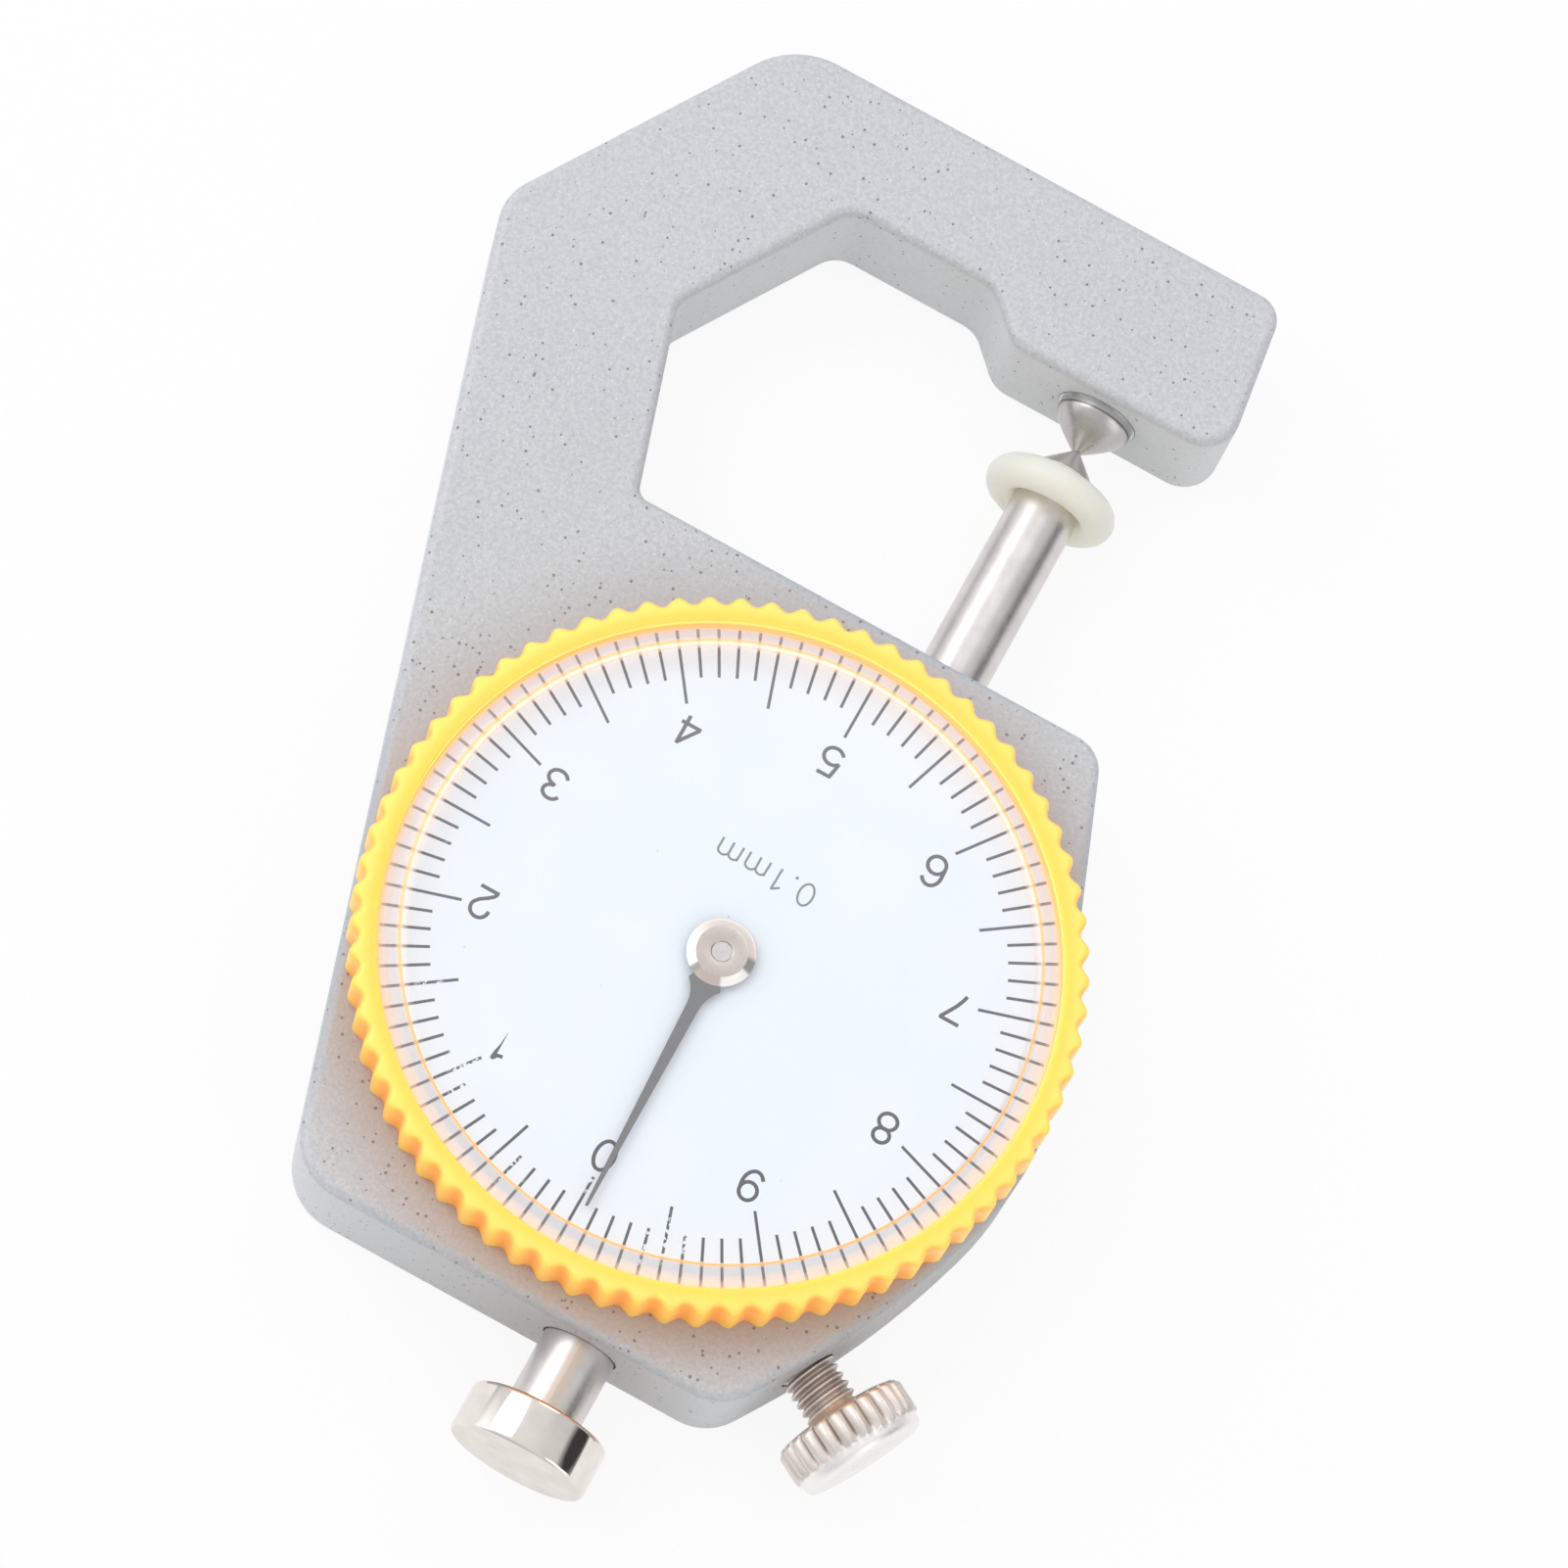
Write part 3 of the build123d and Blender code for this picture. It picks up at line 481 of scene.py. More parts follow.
def tintChamfer(material):  # painted reflections: bright and dark patches round the hub's chamfer
    bright, base, dark = (0.98, 0.97, 0.96), (0.88, 0.815, 0.755), (0.34, 0.33, 0.32)
    olive, brown, dull = (0.42, 0.40, 0.35), (0.62, 0.53, 0.48), (0.5, 0.5, 0.5)
    hubLine = {"start": (0, 0, 0), "turn": (0, 0, 27.9)}
    tree = material.node_tree
    coords = placeCoords(tree, hubLine)
    patches = ramp(
        tree, turnRound(tree, coords), (0.065, bright), (0.075, olive), (0.10, olive), (0.115, brown), (0.235, brown),
        (0.25, bright), (0.385, bright), (0.40, dark), (0.455, dark), (0.48, base), (0.91, base), (0.935, bright),
    )
    onChamfer = ramp(tree, radiusShare(tree, coords, 2), (0.674, 0.0), (0.686, 1.0))
    blendInto(material, "Base Color", onChamfer, patches)
    blendInto(material, "Roughness", onChamfer, dull)


def warmStreak(material):  # a painted warm reflection in a band along the lower end of the spindle
    warmReflection = (0.72, 0.61, 0.53)
    tree = material.node_tree
    coords = stretch(tree, placeCoords(tree, spindleLine), -1, -1, 1)
    band = ramp(tree, turnRound(tree, coords), (0.472, 0.0), (0.482, 1.0), (0.522, 0.9), (0.548, 0.0))
    band = calculate(tree, "MULTIPLY", band, zoneAlong(tree, spindleLine, -30, -10))
    blendInto(material, "Base Color", band, warmReflection)


def tintFlutes(material):  # painted shade: brown grooves between the ridges of the lock screw's head
    brown = (0.42, 0.35, 0.30)
    tree = material.node_tree
    grooveShade = ramp(tree, radiusShare(tree, placeCoords(tree, lockLine), 4), (0.82, 0.75), (0.865, 0.0))
    grooveShade = calculate(tree, "MULTIPLY", grooveShade, zoneAlong(tree, lockLine, 2.32, 4.4))
    blendInto(material, "Base Color", grooveShade, brown)


def softRubber():
    look = {"yellowish": (0.97, 0.94, 0.78), "pale": (0.98, 0.97, 0.86), "glow": (0.97, 0.95, 0.80)}
    material, tree, shader = startMaterial("softRubber")
    coords = placeCoords(tree, spindleLine)
    colour = ramp(tree, noise(tree, coords, 0.8, 3), (0.3, look["yellowish"]), (0.7, look["pale"]))
    tree.links.new(colour, shader.inputs["Base Color"])
    setShader(shader, subsurface_weight=1.0, subsurface_scale=0.003, transmission_weight=0.3, ior=1.42)
    # Painted glow: a faint glow lightens the ring as if light came through the rubber
    setShader(shader, emission_color=(*look["glow"], 1), emission_strength=0.06)
    shader.inputs["Subsurface Radius"].default_value = (1.0, 0.9, 0.6)
    tree.links.new(ramp(tree, noise(tree, coords, 0.3, 2), (0.3, 0.28), (0.7, 0.42)), shader.inputs["Roughness"])
    roughen(tree, shader, noise(tree, coords, 0.12, 3), 0.006)
    return material


steelTone, brassTone = (0.66, 0.65, 0.64), (0.72, 0.55, 0.26)
metalLooks = {
    "polishedNickel": {"line": spindleLine, "colour": (0.86, 0.81, 0.76), "polish": 0.05, "marks": 0.06},
    "brushedNickel": {"line": upright, "colour": (0.635, 0.575, 0.52), "polish": 0.26, "rings": 0.003},
    "screwNickel": {
        "line": lockLine, "colour": (0.83, 0.775, 0.73), "polish": 0.40, "marks": 0.1, "grit": 0.0015,
    },
    "spindleSteel": {
        "line": spindleLine, "colour": (0.75, 0.72, 0.70), "polish": 0.30, "streaks": 0.0004, "marks": 0.08,
    },
    "anvilSteel": {
        "line": spindleLine, "colour": (0.54, 0.52, 0.505), "polish": 0.26, "rings": 0.004, "marks": 0.08,
    },
    "groundSteel": {"line": spindleLine, "colour": steelTone, "polish": 0.18, "rings": 0.006},
    "pinSteel": {"line": upright, "colour": steelTone, "polish": 0.25, "rings": 0.003},
    "springSteel": {"line": upright, "colour": (0.52, 0.52, 0.54), "polish": 0.30, "streaks": 0.002},
    "turnedBrass": {"line": upright, "colour": brassTone, "polish": 0.25, "rings": 0.004},
    "brassOnSpindle": {"line": spindleLine, "colour": brassTone, "polish": 0.25, "rings": 0.004},
    "brassOnLock": {"line": lockLine, "colour": brassTone, "polish": 0.25, "rings": 0.004},
}
# Stretches of a metal that are tinted or dulled: the knob's back and front edge, the lock screw's run-out, a painted
# highlight on the lock screw's rim, a dark line of painted shade at the anvil's edge, and the anvil's grey seat
metalZones = [
    {"metal": "polishedNickel", "from": -24.45, "to": -24.2, "socket": "Base Color", "value": (0.85, 0.55, 0.45)},
    {"metal": "polishedNickel", "from": -27.1, "to": -26.95, "socket": "Roughness", "value": (0.4, 0.4, 0.4)},
    {"metal": "screwNickel", "from": 1.98, "to": 2.3, "socket": "Base Color", "value": (0.80, 0.62, 0.48)},
    # painted highlight: the lock screw's rim is painted near white
    {"metal": "screwNickel", "from": 4.3, "to": 5.4, "socket": "Base Color", "value": (0.95, 0.93, 0.91)},
    # painted shade: a dark ring where the anvil meets its seat
    {"metal": "anvilSteel", "from": 37.70, "to": 37.82, "socket": "Base Color", "value": (0.22, 0.21, 0.21)},
    {"metal": "anvilSteel", "from": 37.80, "to": 38.7, "socket": "Base Color", "value": (0.55, 0.55, 0.55)},
]
metals = {name: metal(name, **look) for name, look in metalLooks.items()}
tintChamfer(metals["brushedNickel"])
tintThread(metals["screwNickel"])
tintFlutes(metals["screwNickel"])
warmStreak(metals["spindleSteel"])
for zone in metalZones:
    material = metals[zone["metal"]]
    share = zoneAlong(material.node_tree, metalLooks[zone["metal"]]["line"], zone["from"], zone["to"])
    blendInto(material, zone["socket"], share, zone["value"])

castPaint = paintedCasting()
yellow = yellowPlastic()
clear = clearPlastic()
dialWhite = dialPaint()
rubber = softRubber()
pointerPaint = printedInk("pointerPaint", (0.17, 0.17, 0.175), (0.19, 0.19, 0.195), [])
wornPlaces = [
    (-72.5, 15.2, 1.5), (-68.9, 15.1, 0.7), (-76.1, 16.0, 1.0), (-126.5, 14.2, 1.3), (-122.9, 15.2, 0.7),
    (-104.9, 15.8, 1.1), (-90.5, 13.8, 0.7), (-144.5, 15.0, 0.8), (-173.3, 14.4, 0.8),
]
inkDark = printedInk("inkDark", (0.085, 0.085, 0.095), (0.15, 0.15, 0.165), wornPlaces)
inkLight = printedInk("inkLight", (0.24, 0.25, 0.265), (0.24, 0.25, 0.265), [])
for material in (yellow, clear, dialWhite, rubber):  # their painted glow is too weak to be sampled as a lamp
    material.cycles.emission_sampling = "NONE"
print("materials ready")

# CAD nodes that keep their shape get their finish here
keptNodes = {
    "frame_body": castPaint,
    "spindle": metals["spindleSteel"],
    "dial_plate": dialWhite,
    "pointer_blade": pointerPaint,
    "pinion_arbor": metals["pinSteel"],
    "guide_pin": metals["pinSteel"],
    "spring_post": metals["pinSteel"],
    "movement_screws": metals["pinSteel"],
    "spring_pin": metals["groundSteel"],
    "return_spring": metals["springSteel"],
    "hairspring": metals["springSteel"],
    "bezel_clip": metals["springSteel"],
    "pivot_bush": metals["turnedBrass"],
    "movement_plate": metals["turnedBrass"],
    "hairspring_collet": metals["turnedBrass"],
    "hairspring_stud": metals["turnedBrass"],
    "upper_bush": metals["brassOnSpindle"],
    "lower_bush": metals["brassOnSpindle"],
    "lock_plug": metals["brassOnLock"],
}
for name, material in keptNodes.items():
    nodes[name].data.materials.clear()
    nodes[name].data.materials.append(material)
print("kept pieces dressed:", len(keptNodes))

# Bezel: a waved rim round a stepped bore
bezelLook = {
    "scallops": 72, "perScallop": 14, "radius": 18.98, "hollow": 0.40, "waveFrom": 18.2, "base": 7.45, "top": 10.65,
    "lip": 17.6, "seat": 17.9, "seatBase": 9.25, "seatTop": 10.1, "skirt": 16.75, "groove": 17.0,
    "grooveBase": 7.95, "grooveTop": 8.65,
}


def scallopedRing():
    look = bezelLook
    base, top = look["base"], look["top"]
    rim, lip, skirt = look["radius"], look["lip"], look["skirt"]
    outside = [
        (rim - 0.1, base), (rim, base + 0.1), (rim, top - 0.40), (rim - 0.04, top - 0.24), (rim - 0.13, top - 0.10),
        (rim - 0.27, top - 0.02), (rim - 0.44, top),
    ]
    lipCurve = [(lip + 0.35, top), (lip + 0.12, top), (lip + 0.03, top - 0.03), (lip, top - 0.10)]
    inside = [
        (lip, look["seatTop"]), (look["seat"], look["seatTop"]), (look["seat"], look["seatBase"]),
        (skirt, look["seatBase"]), (skirt, look["grooveTop"]), (look["groove"], look["grooveTop"]),
        (look["groove"], look["grooveBase"]), (skirt, look["grooveBase"]), (skirt, base),
    ]
    profile = [*outside, *lipCurve, *inside, outside[0]]
    ring = turnPiece("bezelRing", profile, around=look["scallops"] * look["perScallop"], hollow=True)
    bpy.ops.object.mode_set(mode="EDIT")
    for phase in range(1, look["perScallop"] // 2 + 1):
        depth = look["hollow"] * (1 - cos(2 * pi * phase / look["perScallop"])) / 2

        def onPhase(place):
            onRim = hypot(place.x, place.y) > look["waveFrom"] * mm
            return onRim and phaseOf(place, look["scallops"], look["perScallop"]) == phase

        selectVerts(ring, onPhase)
        resizeRound(1 - depth / look["radius"])
    bpy.ops.object.mode_set(mode="OBJECT")
    smooth(ring, angle=50)
    dress(ring, yellow, "bezel_set", "yellow_plastic", "bezel")


scallopedRing()
print("bezel made")

# Crystal: crowned middle, bevelled band, flange under the bezel's lip
crystalLook = {
    "flange": 17.85, "flangeBase": 9.66, "flangeTop": 10.08, "band": 17.5, "bandTop": 10.2, "plateau": 16.5,
    "plateauHeight": 10.76, "crown": 11.05, "wall": 0.48, "insideRim": 16.9,
}


def domedCover():
    look = crystalLook
    sag = look["crown"] - look["plateauHeight"]

    def crownAt(radius):
        return look["crown"] - sag * (radius / look["plateau"]) ** 2

    outside = [(radius, crownAt(radius)) for radius in (16.2, 14, 11, 8, 5, 2.5, 0.6)]
    inside = [(radius, crownAt(radius) - look["wall"]) for radius in (0.6, 2.5, 5, 8, 11, 14, 16.0)]
    rim = [
        (look["insideRim"], look["flangeBase"]), (look["flange"], look["flangeBase"]),
        (look["flange"], look["flangeTop"]), (look["band"], look["flangeTop"]), (look["band"], look["bandTop"]),
        (look["plateau"] + 0.06, look["plateauHeight"] - 0.03),
        (look["plateau"] - 0.06, crownAt(look["plateau"]) + 0.005),
    ]
    cover = turnPiece("crystalCover", inside + rim + outside, around=192)
    smooth(cover, angle=25)
    dress(cover, clear, "bezel_set", "clear_plastic", "crystal")


domedCover()
print("crystal made")

# Dial print: ticks, numerals and the unit, all a hair proud of the dial
printLook = {
    "divisions": 100, "longEvery": 5, "zeroBearing": -90.5, "height": 0.008, "tickWidth": 0.155, "tickOut": 17.45,
    "shortIn": 14.83, "longIn": 13.47, "numeralHeight": 1.62, "numeralStroke": 0.20, "numeralMiddle": (0.31, 0.5),
    "unitHeight": 1.24, "unitStroke": 0.12, "unitPlace": (2.70, 5.63),
    "unitSigns": (("0", 0.91), (".", 0.33), ("narrow 1", 0.96), ("m", 1.27), ("m", 1.27)),
}
# Where the middle of each numeral from 0 to 9 is printed
numeralPlaces = [
    (-0.15, -12.21), (-7.33, -9.81), (-11.82, -3.67), (-11.70, 3.72), (-7.05, 9.69), (0.11, 11.97), (7.49, 9.43),
    (11.82, 3.57), (11.57, -3.87), (6.99, -9.92),
]


def makeTick(name, inner):
    look = printLook
    deselectAll()
    length = look["tickOut"] - inner
    middle = ((inner + length / 2) * mm, 0, dialTop * mm)
    bpy.ops.mesh.primitive_plane_add(size=1, location=middle)
    tick = bpy.context.object
    tick.name = name
    bpy.ops.object.mode_set(mode="EDIT")
    bpy.ops.mesh.select_all(action="SELECT")
    bpy.ops.transform.resize(value=(length * mm, look["tickWidth"] * mm, 1), center_override=middle)
    bpy.ops.mesh.subdivide(number_cuts=3)
    bpy.ops.mesh.extrude_region_move(TRANSFORM_OT_translate={"value": (0, 0, look["height"] * mm)})
    bpy.ops.mesh.select_all(action="SELECT")
    bpy.ops.mesh.normals_make_consistent(inside=False)
    bpy.ops.object.mode_set(mode="OBJECT")
    bpy.ops.object.transform_apply(location=True, rotation=True, scale=True)
    return tick


def joinPieces(name, pieces):
    deselectAll()
    for piece in pieces:
        piece.select_set(True)
    bpy.context.view_layer.objects.active = pieces[0]
    bpy.ops.object.join()
    pieces[0].name = name
    return pieces[0]


def dialTicks():
    look = printLook
    shortTick = makeTick("shortTick", look["shortIn"])
    longTick = makeTick("longTick", look["longIn"])
    copies = []
    for count in range(look["divisions"]):
        first = longTick if count % look["longEvery"] == 0 else shortTick
        tick = first.copy()
        tick.data = first.data.copy()
        bpy.context.collection.objects.link(tick)
        tick.rotation_euler = (0, 0, radians(look["zeroBearing"] - 360 / look["divisions"] * count))
        copies.append(tick)
    ring = joinPieces("dialTicks", copies)
    bpy.ops.object.transform_apply(location=True, rotation=True, scale=True)
    useOnly(shortTick)
    longTick.select_set(True)
    bpy.ops.object.delete()
    dress(ring, inkDark, "bezel_set", "dial_white")


def bow(x, y, across, up, start, end, step=12):  # points of an elliptic arc in a numeral's box
    count = max(2, round(abs(end - start) / step))
    angles = [radians(start + (end - start) * part / count) for part in range(count + 1)]
    return [(x + across * cos(angle), y + up * sin(angle)) for angle in angles]


# Each sign is a few pen strokes in a box one unit high; a third number narrows the pen where print is worn
penStrokes = {
    "0": [bow(0.31, 0.5, 0.31, 0.5, 90, 450)],
    "1": [
        [(0.16, 0.79), (0.33, 0.82), (0.45, 0.99)], [(0.31, 0.84), (0.43, 0.84)],
        [(0.46, 1.0, 0.9), (0.43, 0.75, 1.0), (0.40, 0.5, 0.5), (0.385, 0.2, 0.25), (0.38, 0.0, 0.1)],
    ],
    "2": [
        bow(0.324, 0.708, 0.30, 0.292, 190, -25) + [(0.47, 0.43), (0.24, 0.27), (0.08, 0.13), (0.03, 0.0)],
        [(-0.01, 0.0), (0.64, 0.0)],
    ],
    "3": [bow(0.268, 0.769, 0.287, 0.231, 165, -90), [(0.25, 0.535)] + bow(0.287, 0.255, 0.313, 0.255, 80, -165)],
    "4": [[(0.475, 0.0), (0.475, 1.03)], [(0.49, 1.02), (-0.02, 0.285)], [(-0.05, 0.285), (0.65, 0.285)]],
    "5": [
        [(0.58, 0.975), (0.09, 0.975)], [(0.13, 1.0), (0.035, 0.45)],
        [(0.035, 0.47)] + bow(0.31, 0.305, 0.32, 0.29, 140, -155),
    ],
    "6": [bow(0.324, 0.2685, 0.30, 0.296, 90, 450), [(0.02, 0.30)] + bow(0.324, 0.60, 0.315, 0.395, 185, 30)],
    "7": [[(-0.02, 0.99), (0.66, 0.99)], [(0.64, 1.0), (0.47, 0.72), (0.31, 0.44), (0.21, 0.20), (0.155, 0.0)]],
    "8": [bow(0.31, 0.755, 0.268, 0.24, -90, 270), bow(0.31, 0.262, 0.30, 0.269, 90, 450)],
    "9": [bow(0.29, 0.69, 0.287, 0.30, -30, 330), [(0.578, 0.70)] + bow(0.278, 0.455, 0.33, 0.46, 20, -145)],
    ".": [bow(0.05, 0.04, 0.03, 0.03, 0, 360, 60)],
    "narrow 1": [[(0.15, 0.78), (0.46, 1.0)], [(0.46, 1.02), (0.42, 0.0)]],
    "m": [
        [(0.03, 0.68), (0.0, 0.0)],
        bow(0.24, 0.50, 0.22, 0.20, 170, 10) + [(0.46, 0.0)],
        bow(0.71, 0.50, 0.24, 0.20, 170, 10) + [(0.94, 0.0)],
    ],
}


def drawStrokes(name, strokes, height, width):
    deselectAll()
    pen = bpy.data.curves.new(name, "CURVE")
    pen.dimensions = "3D"
    pen.bevel_depth = width * mm / 2
    pen.bevel_resolution = 2
    pen.use_fill_caps = True
    for stroke in strokes:
        line = pen.splines.new("POLY")
        line.points.add(len(stroke) - 1)
        for point, (x, y, *share) in zip(line.points, stroke):
            point.co = (x * height * mm, y * height * mm, 0, 1)
            point.radius = share[0] if share else 1
    sign = bpy.data.objects.new(name, pen)
    bpy.context.collection.objects.link(sign)
    useOnly(sign)
    bpy.ops.object.convert(target="MESH")
    sign = bpy.context.object
    bpy.ops.object.mode_set(mode="EDIT")
    bpy.ops.mesh.select_all(action="SELECT")
    bpy.ops.transform.resize(value=(1, 1, 2 * printLook["height"] / width), center_override=(0, 0, 0))
    bpy.ops.object.mode_set(mode="OBJECT")
    return sign


def placeSign(sign, x, y, middle):  # turns a sign upright as the dial is read and centres it
    useOnly(sign)
    sign.rotation_euler = (0, 0, pi)
    sign.location = ((x + middle[0]) * mm, (y + middle[1]) * mm, dialTop * mm)
    bpy.ops.object.transform_apply(location=True, rotation=True, scale=True)


def dialNumerals():
    look = printLook
    signs = []
    tall = look["numeralHeight"]
    middle = [part * tall for part in look["numeralMiddle"]]
    for digit, (x, y) in enumerate(numeralPlaces):
        sign = drawStrokes("numeral", penStrokes[str(digit)], tall, look["numeralStroke"])
        placeSign(sign, x, y, middle)
        signs.append(sign)
    dress(joinPieces("dialNumerals", signs), inkDark, "bezel_set", "dial_white")
    signs = []
    tall = look["unitHeight"]
    x, y = look["unitPlace"]
    for letter, advance in look["unitSigns"]:
        sign = drawStrokes("unit", penStrokes[letter], tall, look["unitStroke"])
        placeSign(sign, x, y, (0, 0))
        x -= advance * tall
        signs.append(sign)
    dress(joinPieces("dialUnit", signs), inkLight, "bezel_set", "dial_white")


dialTicks()
dialNumerals()
print("dial printed")

# Anvil: a blunt point that rounds over into its rim, a collar that fills its seat, and the shank in the arm
anvilLook = {
    "point": [(0.25, 35.77), (0.7, 36.14), (1.15, 36.53), (1.52, 36.87), (1.82, 37.2), (2.0, 37.48), (2.08, 37.68)],
    "rim": 2.1, "rimBase": 37.8, "collar": 2.27, "wall": 38.13, "seat": 38.55, "shank": 1.75, "end": 43.0,
}


def anvilPoint():
    look = anvilLook
    profile = look["point"] + [
        (look["rim"], look["rimBase"]), (look["rim"], look["wall"]), (look["collar"], look["wall"]),
        (look["collar"], look["seat"]), (look["shank"], look["seat"]), (look["shank"], look["end"]),
    ]
    anvil = turnPiece("anvilPoint", profile, around=96)
    placeOn(anvil, spindleLine)
    smooth(anvil, angle=30)
    dress(anvil, metals["anvilSteel"], "gauge_body", "ground_steel", "fixed_anvil")


anvilPoint()
print("anvil made")

# Hub on the pointer: chamfered head, neck through the blade's ring, hole over the arbor's end
hubLook = {
    "radius": 1.8, "top": 10.35, "base": 10.10, "chamfer": 0.30, "flat": 1.36, "hole": 0.53, "neck": 1.0,
    "neckBase": 9.80,
}


def pointerHub():
    look = hubLook
    profile = [
        (look["hole"], look["neckBase"]), (look["neck"], look["neckBase"]), (look["neck"], look["base"]),
        (look["radius"], look["base"]), (look["radius"], look["top"] - look["chamfer"]), (look["flat"], look["top"]),
        (look["hole"] + 0.05, look["top"]), (look["hole"], look["top"] - 0.05), (look["hole"], look["neckBase"]),
    ]
    hub = turnPiece("pointerHub", profile, around=96, hollow=True)
    bevelEdges(hub, width=0.03, steps=2, angle=25)
    smooth(hub, angle=30)
    dress(hub, metals["brushedNickel"], "pointer_set", "bright_nickel", "pointer_hub")


pointerHub()
print("hub made")

# Knob on the spindle's lower end
knobLook = {"radius": 3.8, "top": -24.3, "end": -27.0, "socket": 1.2, "socketEnd": -26.2, "rounding": 0.25}


def pullKnob():
    look = knobLook
    profile = [
        (look["socket"], look["socketEnd"]), (look["socket"], look["top"]), (look["radius"], look["top"]),
        (look["radius"], look["end"]), (look["socket"], look["end"]),
    ]
    knob = turnPiece("pullKnob", profile, around=128)
    bevelEdges(knob, width=look["rounding"], steps=5, angle=50)
    placeOn(knob, spindleLine)
    smooth(knob, angle=40)
    dress(knob, metals["polishedNickel"], "spindle_set", "bright_nickel", "pull_knob")


pullKnob()
print("knob made")

# Bumper ring on the spindle
ringLook = {"middle": 2.775, "section": 0.95, "bore": 1.875, "place": 32.7, "round": 20}


def bumperRing():
    look = ringLook
    profile = []
    for step in range(look["round"] + 1):
        turn = 2 * pi * step / look["round"]
        radius = look["middle"] + look["section"] * cos(turn)
        profile.append((max(radius, look["bore"]), look["place"] + look["section"] * sin(turn)))
    ring = turnPiece("bumperRing", profile, around=96, hollow=True)
    placeOn(ring, spindleLine)
    smooth(ring, angle=60)
    dress(ring, rubber, "spindle_set", "clear_rubber", "bumper_ring")


bumperRing()
print("bumper ring made")

# Lock screw: fluted head with a smooth bevelled rim, and a threaded stud
lockLook = {
    "start": 2.3, "end": 5.1, "neck": 2.9, "rim": 3.45, "rounding": 0.48, "flutes": 24, "perFlute": 12,
    "ringOut": 1.0, "ringIn": 0.80, "ringDepth": 0.05, "middle": 0.3,
    "thread": 1.5, "threadRoot": 1.22, "pitch": 0.5, "turns": 21, "stepsPerTurn": 36,
}
# The ridges end in tongues that stand proud of the rim. Each station has its height, the radius on a ridge and
# in a groove, and a power that is larger for a wider ridge
fluteStations = [
    (2.42, 3.42, 3.22, 2.3), (2.70, 3.65, 3.28, 2.3), (3.72, 3.65, 3.28, 2.3), (4.02, 3.65, 3.33, 1.7),
    (4.22, 3.63, 3.40, 1.0), (4.36, 3.57, 3.44, 0.7), (4.42, 3.46, 3.45, 1.0),
]


def lockHead():
    look = lockLook
    fluted = [(ridge, height) for height, ridge, groove, power in fluteStations]
    soft = look["rounding"]
    rim = [
        (look["rim"] - soft + soft * cos(radians(turn)), look["end"] - soft + soft * sin(radians(turn)))
        for turn in (0, 15, 30, 45, 60, 75, 90)
    ]
    out, back, depth = look["ringOut"], look["ringIn"], look["ringDepth"]  # a shallow turned ring in the face
    face = [
        (out, look["end"]), (out - depth, look["end"] - depth), (back + depth, look["end"] - depth),
        (back, look["end"]), (look["middle"], look["end"]),
    ]
    profile = [(look["neck"], look["start"]), *fluted, *rim, *face]
    head = turnPiece("lockHead", profile, around=look["flutes"] * look["perFlute"])
    bpy.ops.object.mode_set(mode="EDIT")
    for height, ridge, groove, power in fluteStations:
        for phase in range(1, look["perFlute"] // 2 + 1):
            reach = ridge - (ridge - groove) * (2 * phase / look["perFlute"]) ** power

            def onPhase(place):
                atHeight = abs(place.z - height * mm) < 0.01 * mm
                return atHeight and phaseOf(place, look["flutes"], look["perFlute"]) == phase

            selectVerts(head, onPhase)
            resizeRound(reach / ridge)
    bpy.ops.object.mode_set(mode="OBJECT")
    placeOn(head, lockLine)
    smooth(head, angle=50)
    return head


def lockStud():
    look = lockLook
    deselectAll()
    depth = look["thread"] - look["threadRoot"]
    # One thread from root to root: the share of the pitch and the share of the depth
    tooth = [(0.0, 0.0), (0.18, 0.3), (0.35, 0.8), (0.5, 1.0), (0.65, 0.8), (0.82, 0.3), (1.0, 0.0)]
    bpy.ops.mesh.primitive_circle_add(vertices=len(tooth), radius=1 * mm, fill_type="NOTHING")
    stud = bpy.context.object
    stud.name = "lockStud"
    bpy.ops.object.mode_set(mode="EDIT")
    shape = bmesh.from_edit_mesh(stud.data)
    for vert, (along, out) in zip(shape.verts, tooth):
        vert.co = ((look["threadRoot"] + depth * out) * mm, 0, along * look["pitch"] * mm)
    longWay = max(shape.edges, key=lambda edge: edge.calc_length())
    bmesh.ops.delete(shape, geom=[longWay], context="EDGES")
    bmesh.update_edit_mesh(stud.data)
    bpy.ops.object.mode_set(mode="OBJECT")
    bpy.ops.object.modifier_add(type="SCREW")
    thread = stud.modifiers[-1]
    thread.axis = "Z"
    thread.screw_offset = look["pitch"] * mm
    thread.iterations = look["turns"]
    thread.steps = thread.render_steps = look["stepsPerTurn"]
    thread.use_merge_vertices = True
    thread.merge_threshold = 0.001 * mm
    thread.use_smooth_shade = False
    bpy.ops.object.modifier_apply(modifier=thread.name)
    stud.location = (0, 0, (look["start"] - look["turns"] * look["pitch"]) * mm)
    bpy.ops.object.transform_apply(location=True, rotation=True, scale=True)
    bpy.ops.object.mode_set(mode="EDIT")
    bpy.ops.mesh.select_all(action="SELECT")
    bpy.ops.mesh.remove_doubles(threshold=0.001 * mm)
    bpy.ops.mesh.fill_holes(sides=200)
    bpy.ops.mesh.normals_make_consistent(inside=False)
    bpy.ops.object.mode_set(mode="OBJECT")
    placeOn(stud, lockLine)
    smooth(stud, angle=80)
    return stud


screw = joinPieces("lockScrew", [lockHead(), lockStud()])
dress(screw, metals["screwNickel"], "lock_screw_set", "bright_nickel", "lock_screw")
print("lock screw made")

# Studio: pale floor, soft lamps and the camera of the photograph
studioLook = {"floorSize": 1600, "floorDepth": 0.02, "floorWhite": 0.90, "showThrough": 0.88, "darkestAir": 0.05}
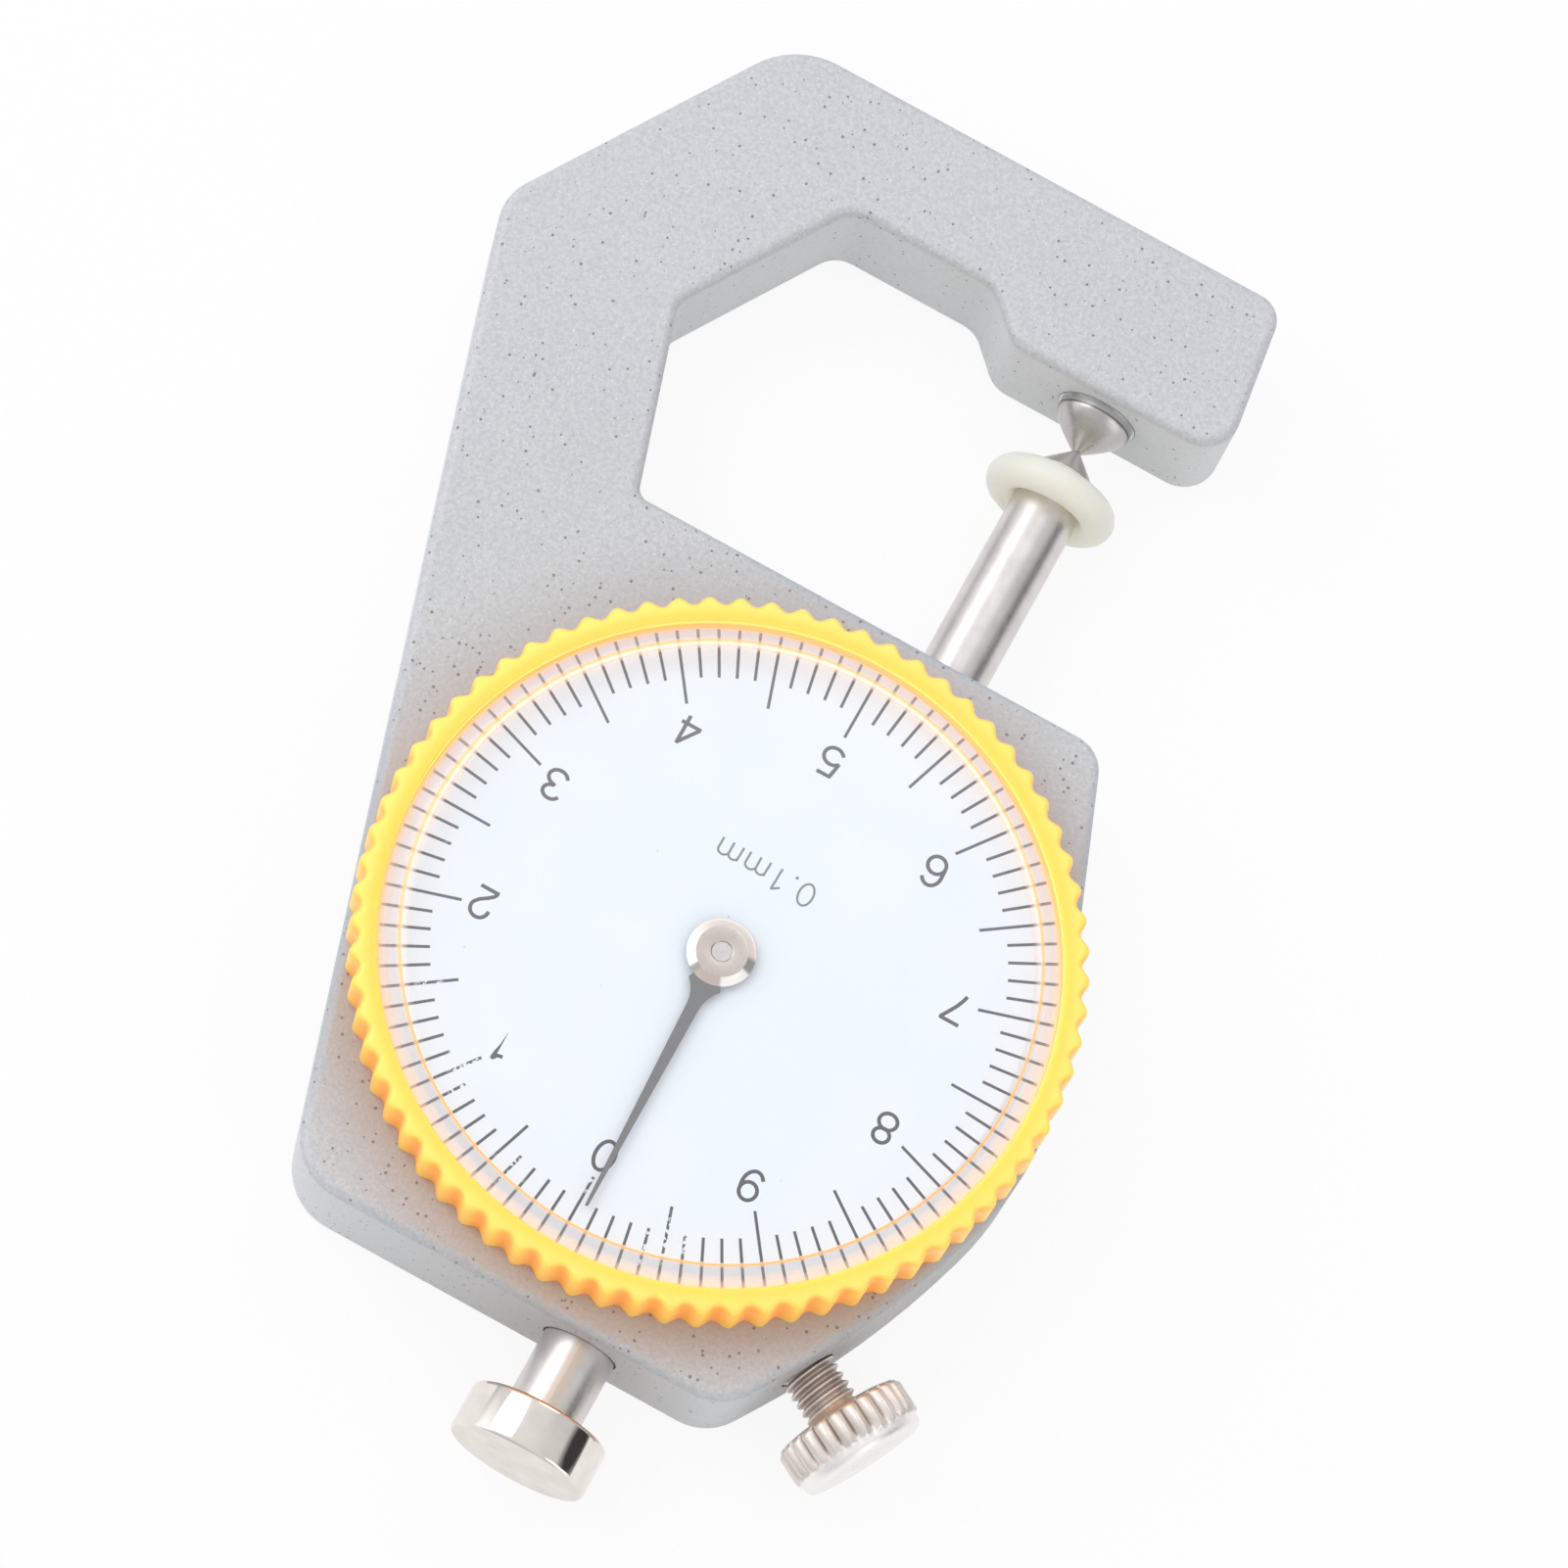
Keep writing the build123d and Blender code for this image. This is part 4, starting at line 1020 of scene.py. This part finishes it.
# Brightness of the air by height, and the soft panels in it; one with a glow below 0 is dark
skyBands = [(0.0, 0.32), (0.06, 0.40), (0.20, 0.54), (0.55, 0.63), (0.95, 0.72)]
panels = [
    {"towards": (-0.97, -0.20, 0.12), "edge": 0.85, "full": 0.99, "glow": 0.8},
    {"towards": (-0.75, 0.10, 0.65), "edge": 0.30, "full": 0.95, "glow": 0.25},
    {"towards": (0.90, -0.39, 0.19), "edge": 0.93, "full": 0.985, "glow": 0.8},
    {"towards": (0.90, 0.24, 0.28), "edge": 0.92, "full": 0.97, "glow": -0.75},
    {"towards": (0.80, -0.58, 0.15), "edge": 0.2, "full": 0.95, "glow": 0.14},
]
cameraLook = {
    "place": (9.243, -109.918, 368.170), "turn": (17.0242, -7.3937, 27.8973), "lens": 169.058, "sensor": 36,
    "nearest": 10, "farthest": 10000,
}
lamps = [
    {"name": "leftLamp", "place": (-300, 60, 330), "size": 320, "power": 0.42},
    {"name": "topLamp", "place": (40, 330, 380), "size": 300, "power": 0.25},
    {"name": "rightLamp", "place": (330, -120, 260), "size": 220, "power": 0.10},
]


def makeFloor():
    deselectAll()
    bpy.ops.mesh.primitive_plane_add(
        size=studioLook["floorSize"] * mm, location=(0, 0, -studioLook["floorDepth"] * mm)
    )
    floor = bpy.context.object
    floor.name = "studioFloor"
    bpy.ops.object.transform_apply(location=True, rotation=True, scale=True)
    material, tree, shader = startMaterial("floorPaper")
    white = studioLook["floorWhite"]
    setShader(shader, roughness=0.9, specular_ior_level=0.1)
    shader.inputs["Base Color"].default_value = (white, white, white, 1)
    glow = tree.nodes.new("ShaderNodeEmission")
    rays = tree.nodes.new("ShaderNodeLightPath")
    seen = calculate(tree, "MAXIMUM", rays.outputs["Is Camera Ray"], rays.outputs["Is Glossy Ray"])
    seen = calculate(tree, "MAXIMUM", seen, rays.outputs["Is Transmission Ray"])
    share = calculate(tree, "MULTIPLY", seen, studioLook["showThrough"])
    mix = tree.nodes.new("ShaderNodeMixShader")
    tree.links.new(share, mix.inputs[0])
    tree.links.new(shader.outputs[0], mix.inputs[1])
    tree.links.new(glow.outputs[0], mix.inputs[2])
    tree.links.new(mix.outputs[0], tree.nodes["Material Output"].inputs["Surface"])
    floor.data.materials.append(material)


def makeWorld():
    world = bpy.data.worlds.new("studioAir")
    bpy.context.scene.world = world
    world.use_nodes = True
    tree = world.node_tree
    coords = tree.nodes.new("ShaderNodeTexCoord")
    split = tree.nodes.new("ShaderNodeSeparateXYZ")
    tree.links.new(coords.outputs["Generated"], split.inputs[0])
    sky = ramp(tree, split.outputs["Z"], *skyBands)
    for panel in panels:
        facing = tree.nodes.new("ShaderNodeVectorMath")
        facing.operation = "DOT_PRODUCT"
        facing.inputs[1].default_value = panel["towards"]
        tree.links.new(coords.outputs["Generated"], facing.inputs[0])
        share = ramp(tree, facing.outputs["Value"], (panel["edge"], 0.0), (panel["full"], 1.0))
        sky = calculate(tree, "ADD", sky, calculate(tree, "MULTIPLY", share, panel["glow"]))
    sky = calculate(tree, "MAXIMUM", sky, studioLook["darkestAir"])
    tree.links.new(sky, tree.nodes["Background"].inputs["Color"])


def makeLamps():
    for lamp in lamps:
        light = bpy.data.lights.new(lamp["name"], "AREA")
        light.shape = "DISK"
        light.size = lamp["size"] * mm
        light.energy = lamp["power"]
        holder = bpy.data.objects.new(lamp["name"], light)
        bpy.context.collection.objects.link(holder)
        holder.location = [place * mm for place in lamp["place"]]
        aim = -holder.location
        holder.rotation_euler = aim.to_track_quat("-Z", "Y").to_euler()


def makeCamera():
    lens = bpy.data.cameras.new("photoCamera")
    lens.lens = cameraLook["lens"]
    lens.sensor_width = cameraLook["sensor"]
    lens.clip_start = cameraLook["nearest"] * mm
    lens.clip_end = cameraLook["farthest"] * mm
    camera = bpy.data.objects.new("photoCamera", lens)
    bpy.context.collection.objects.link(camera)
    camera.location = [place * mm for place in cameraLook["place"]]
    camera.rotation_euler = [radians(turn) for turn in cameraLook["turn"]]
    bpy.context.scene.camera = camera


makeFloor()
makeWorld()
makeLamps()
makeCamera()
bpy.context.scene.view_settings.view_transform = "Standard"
print("studio ready")
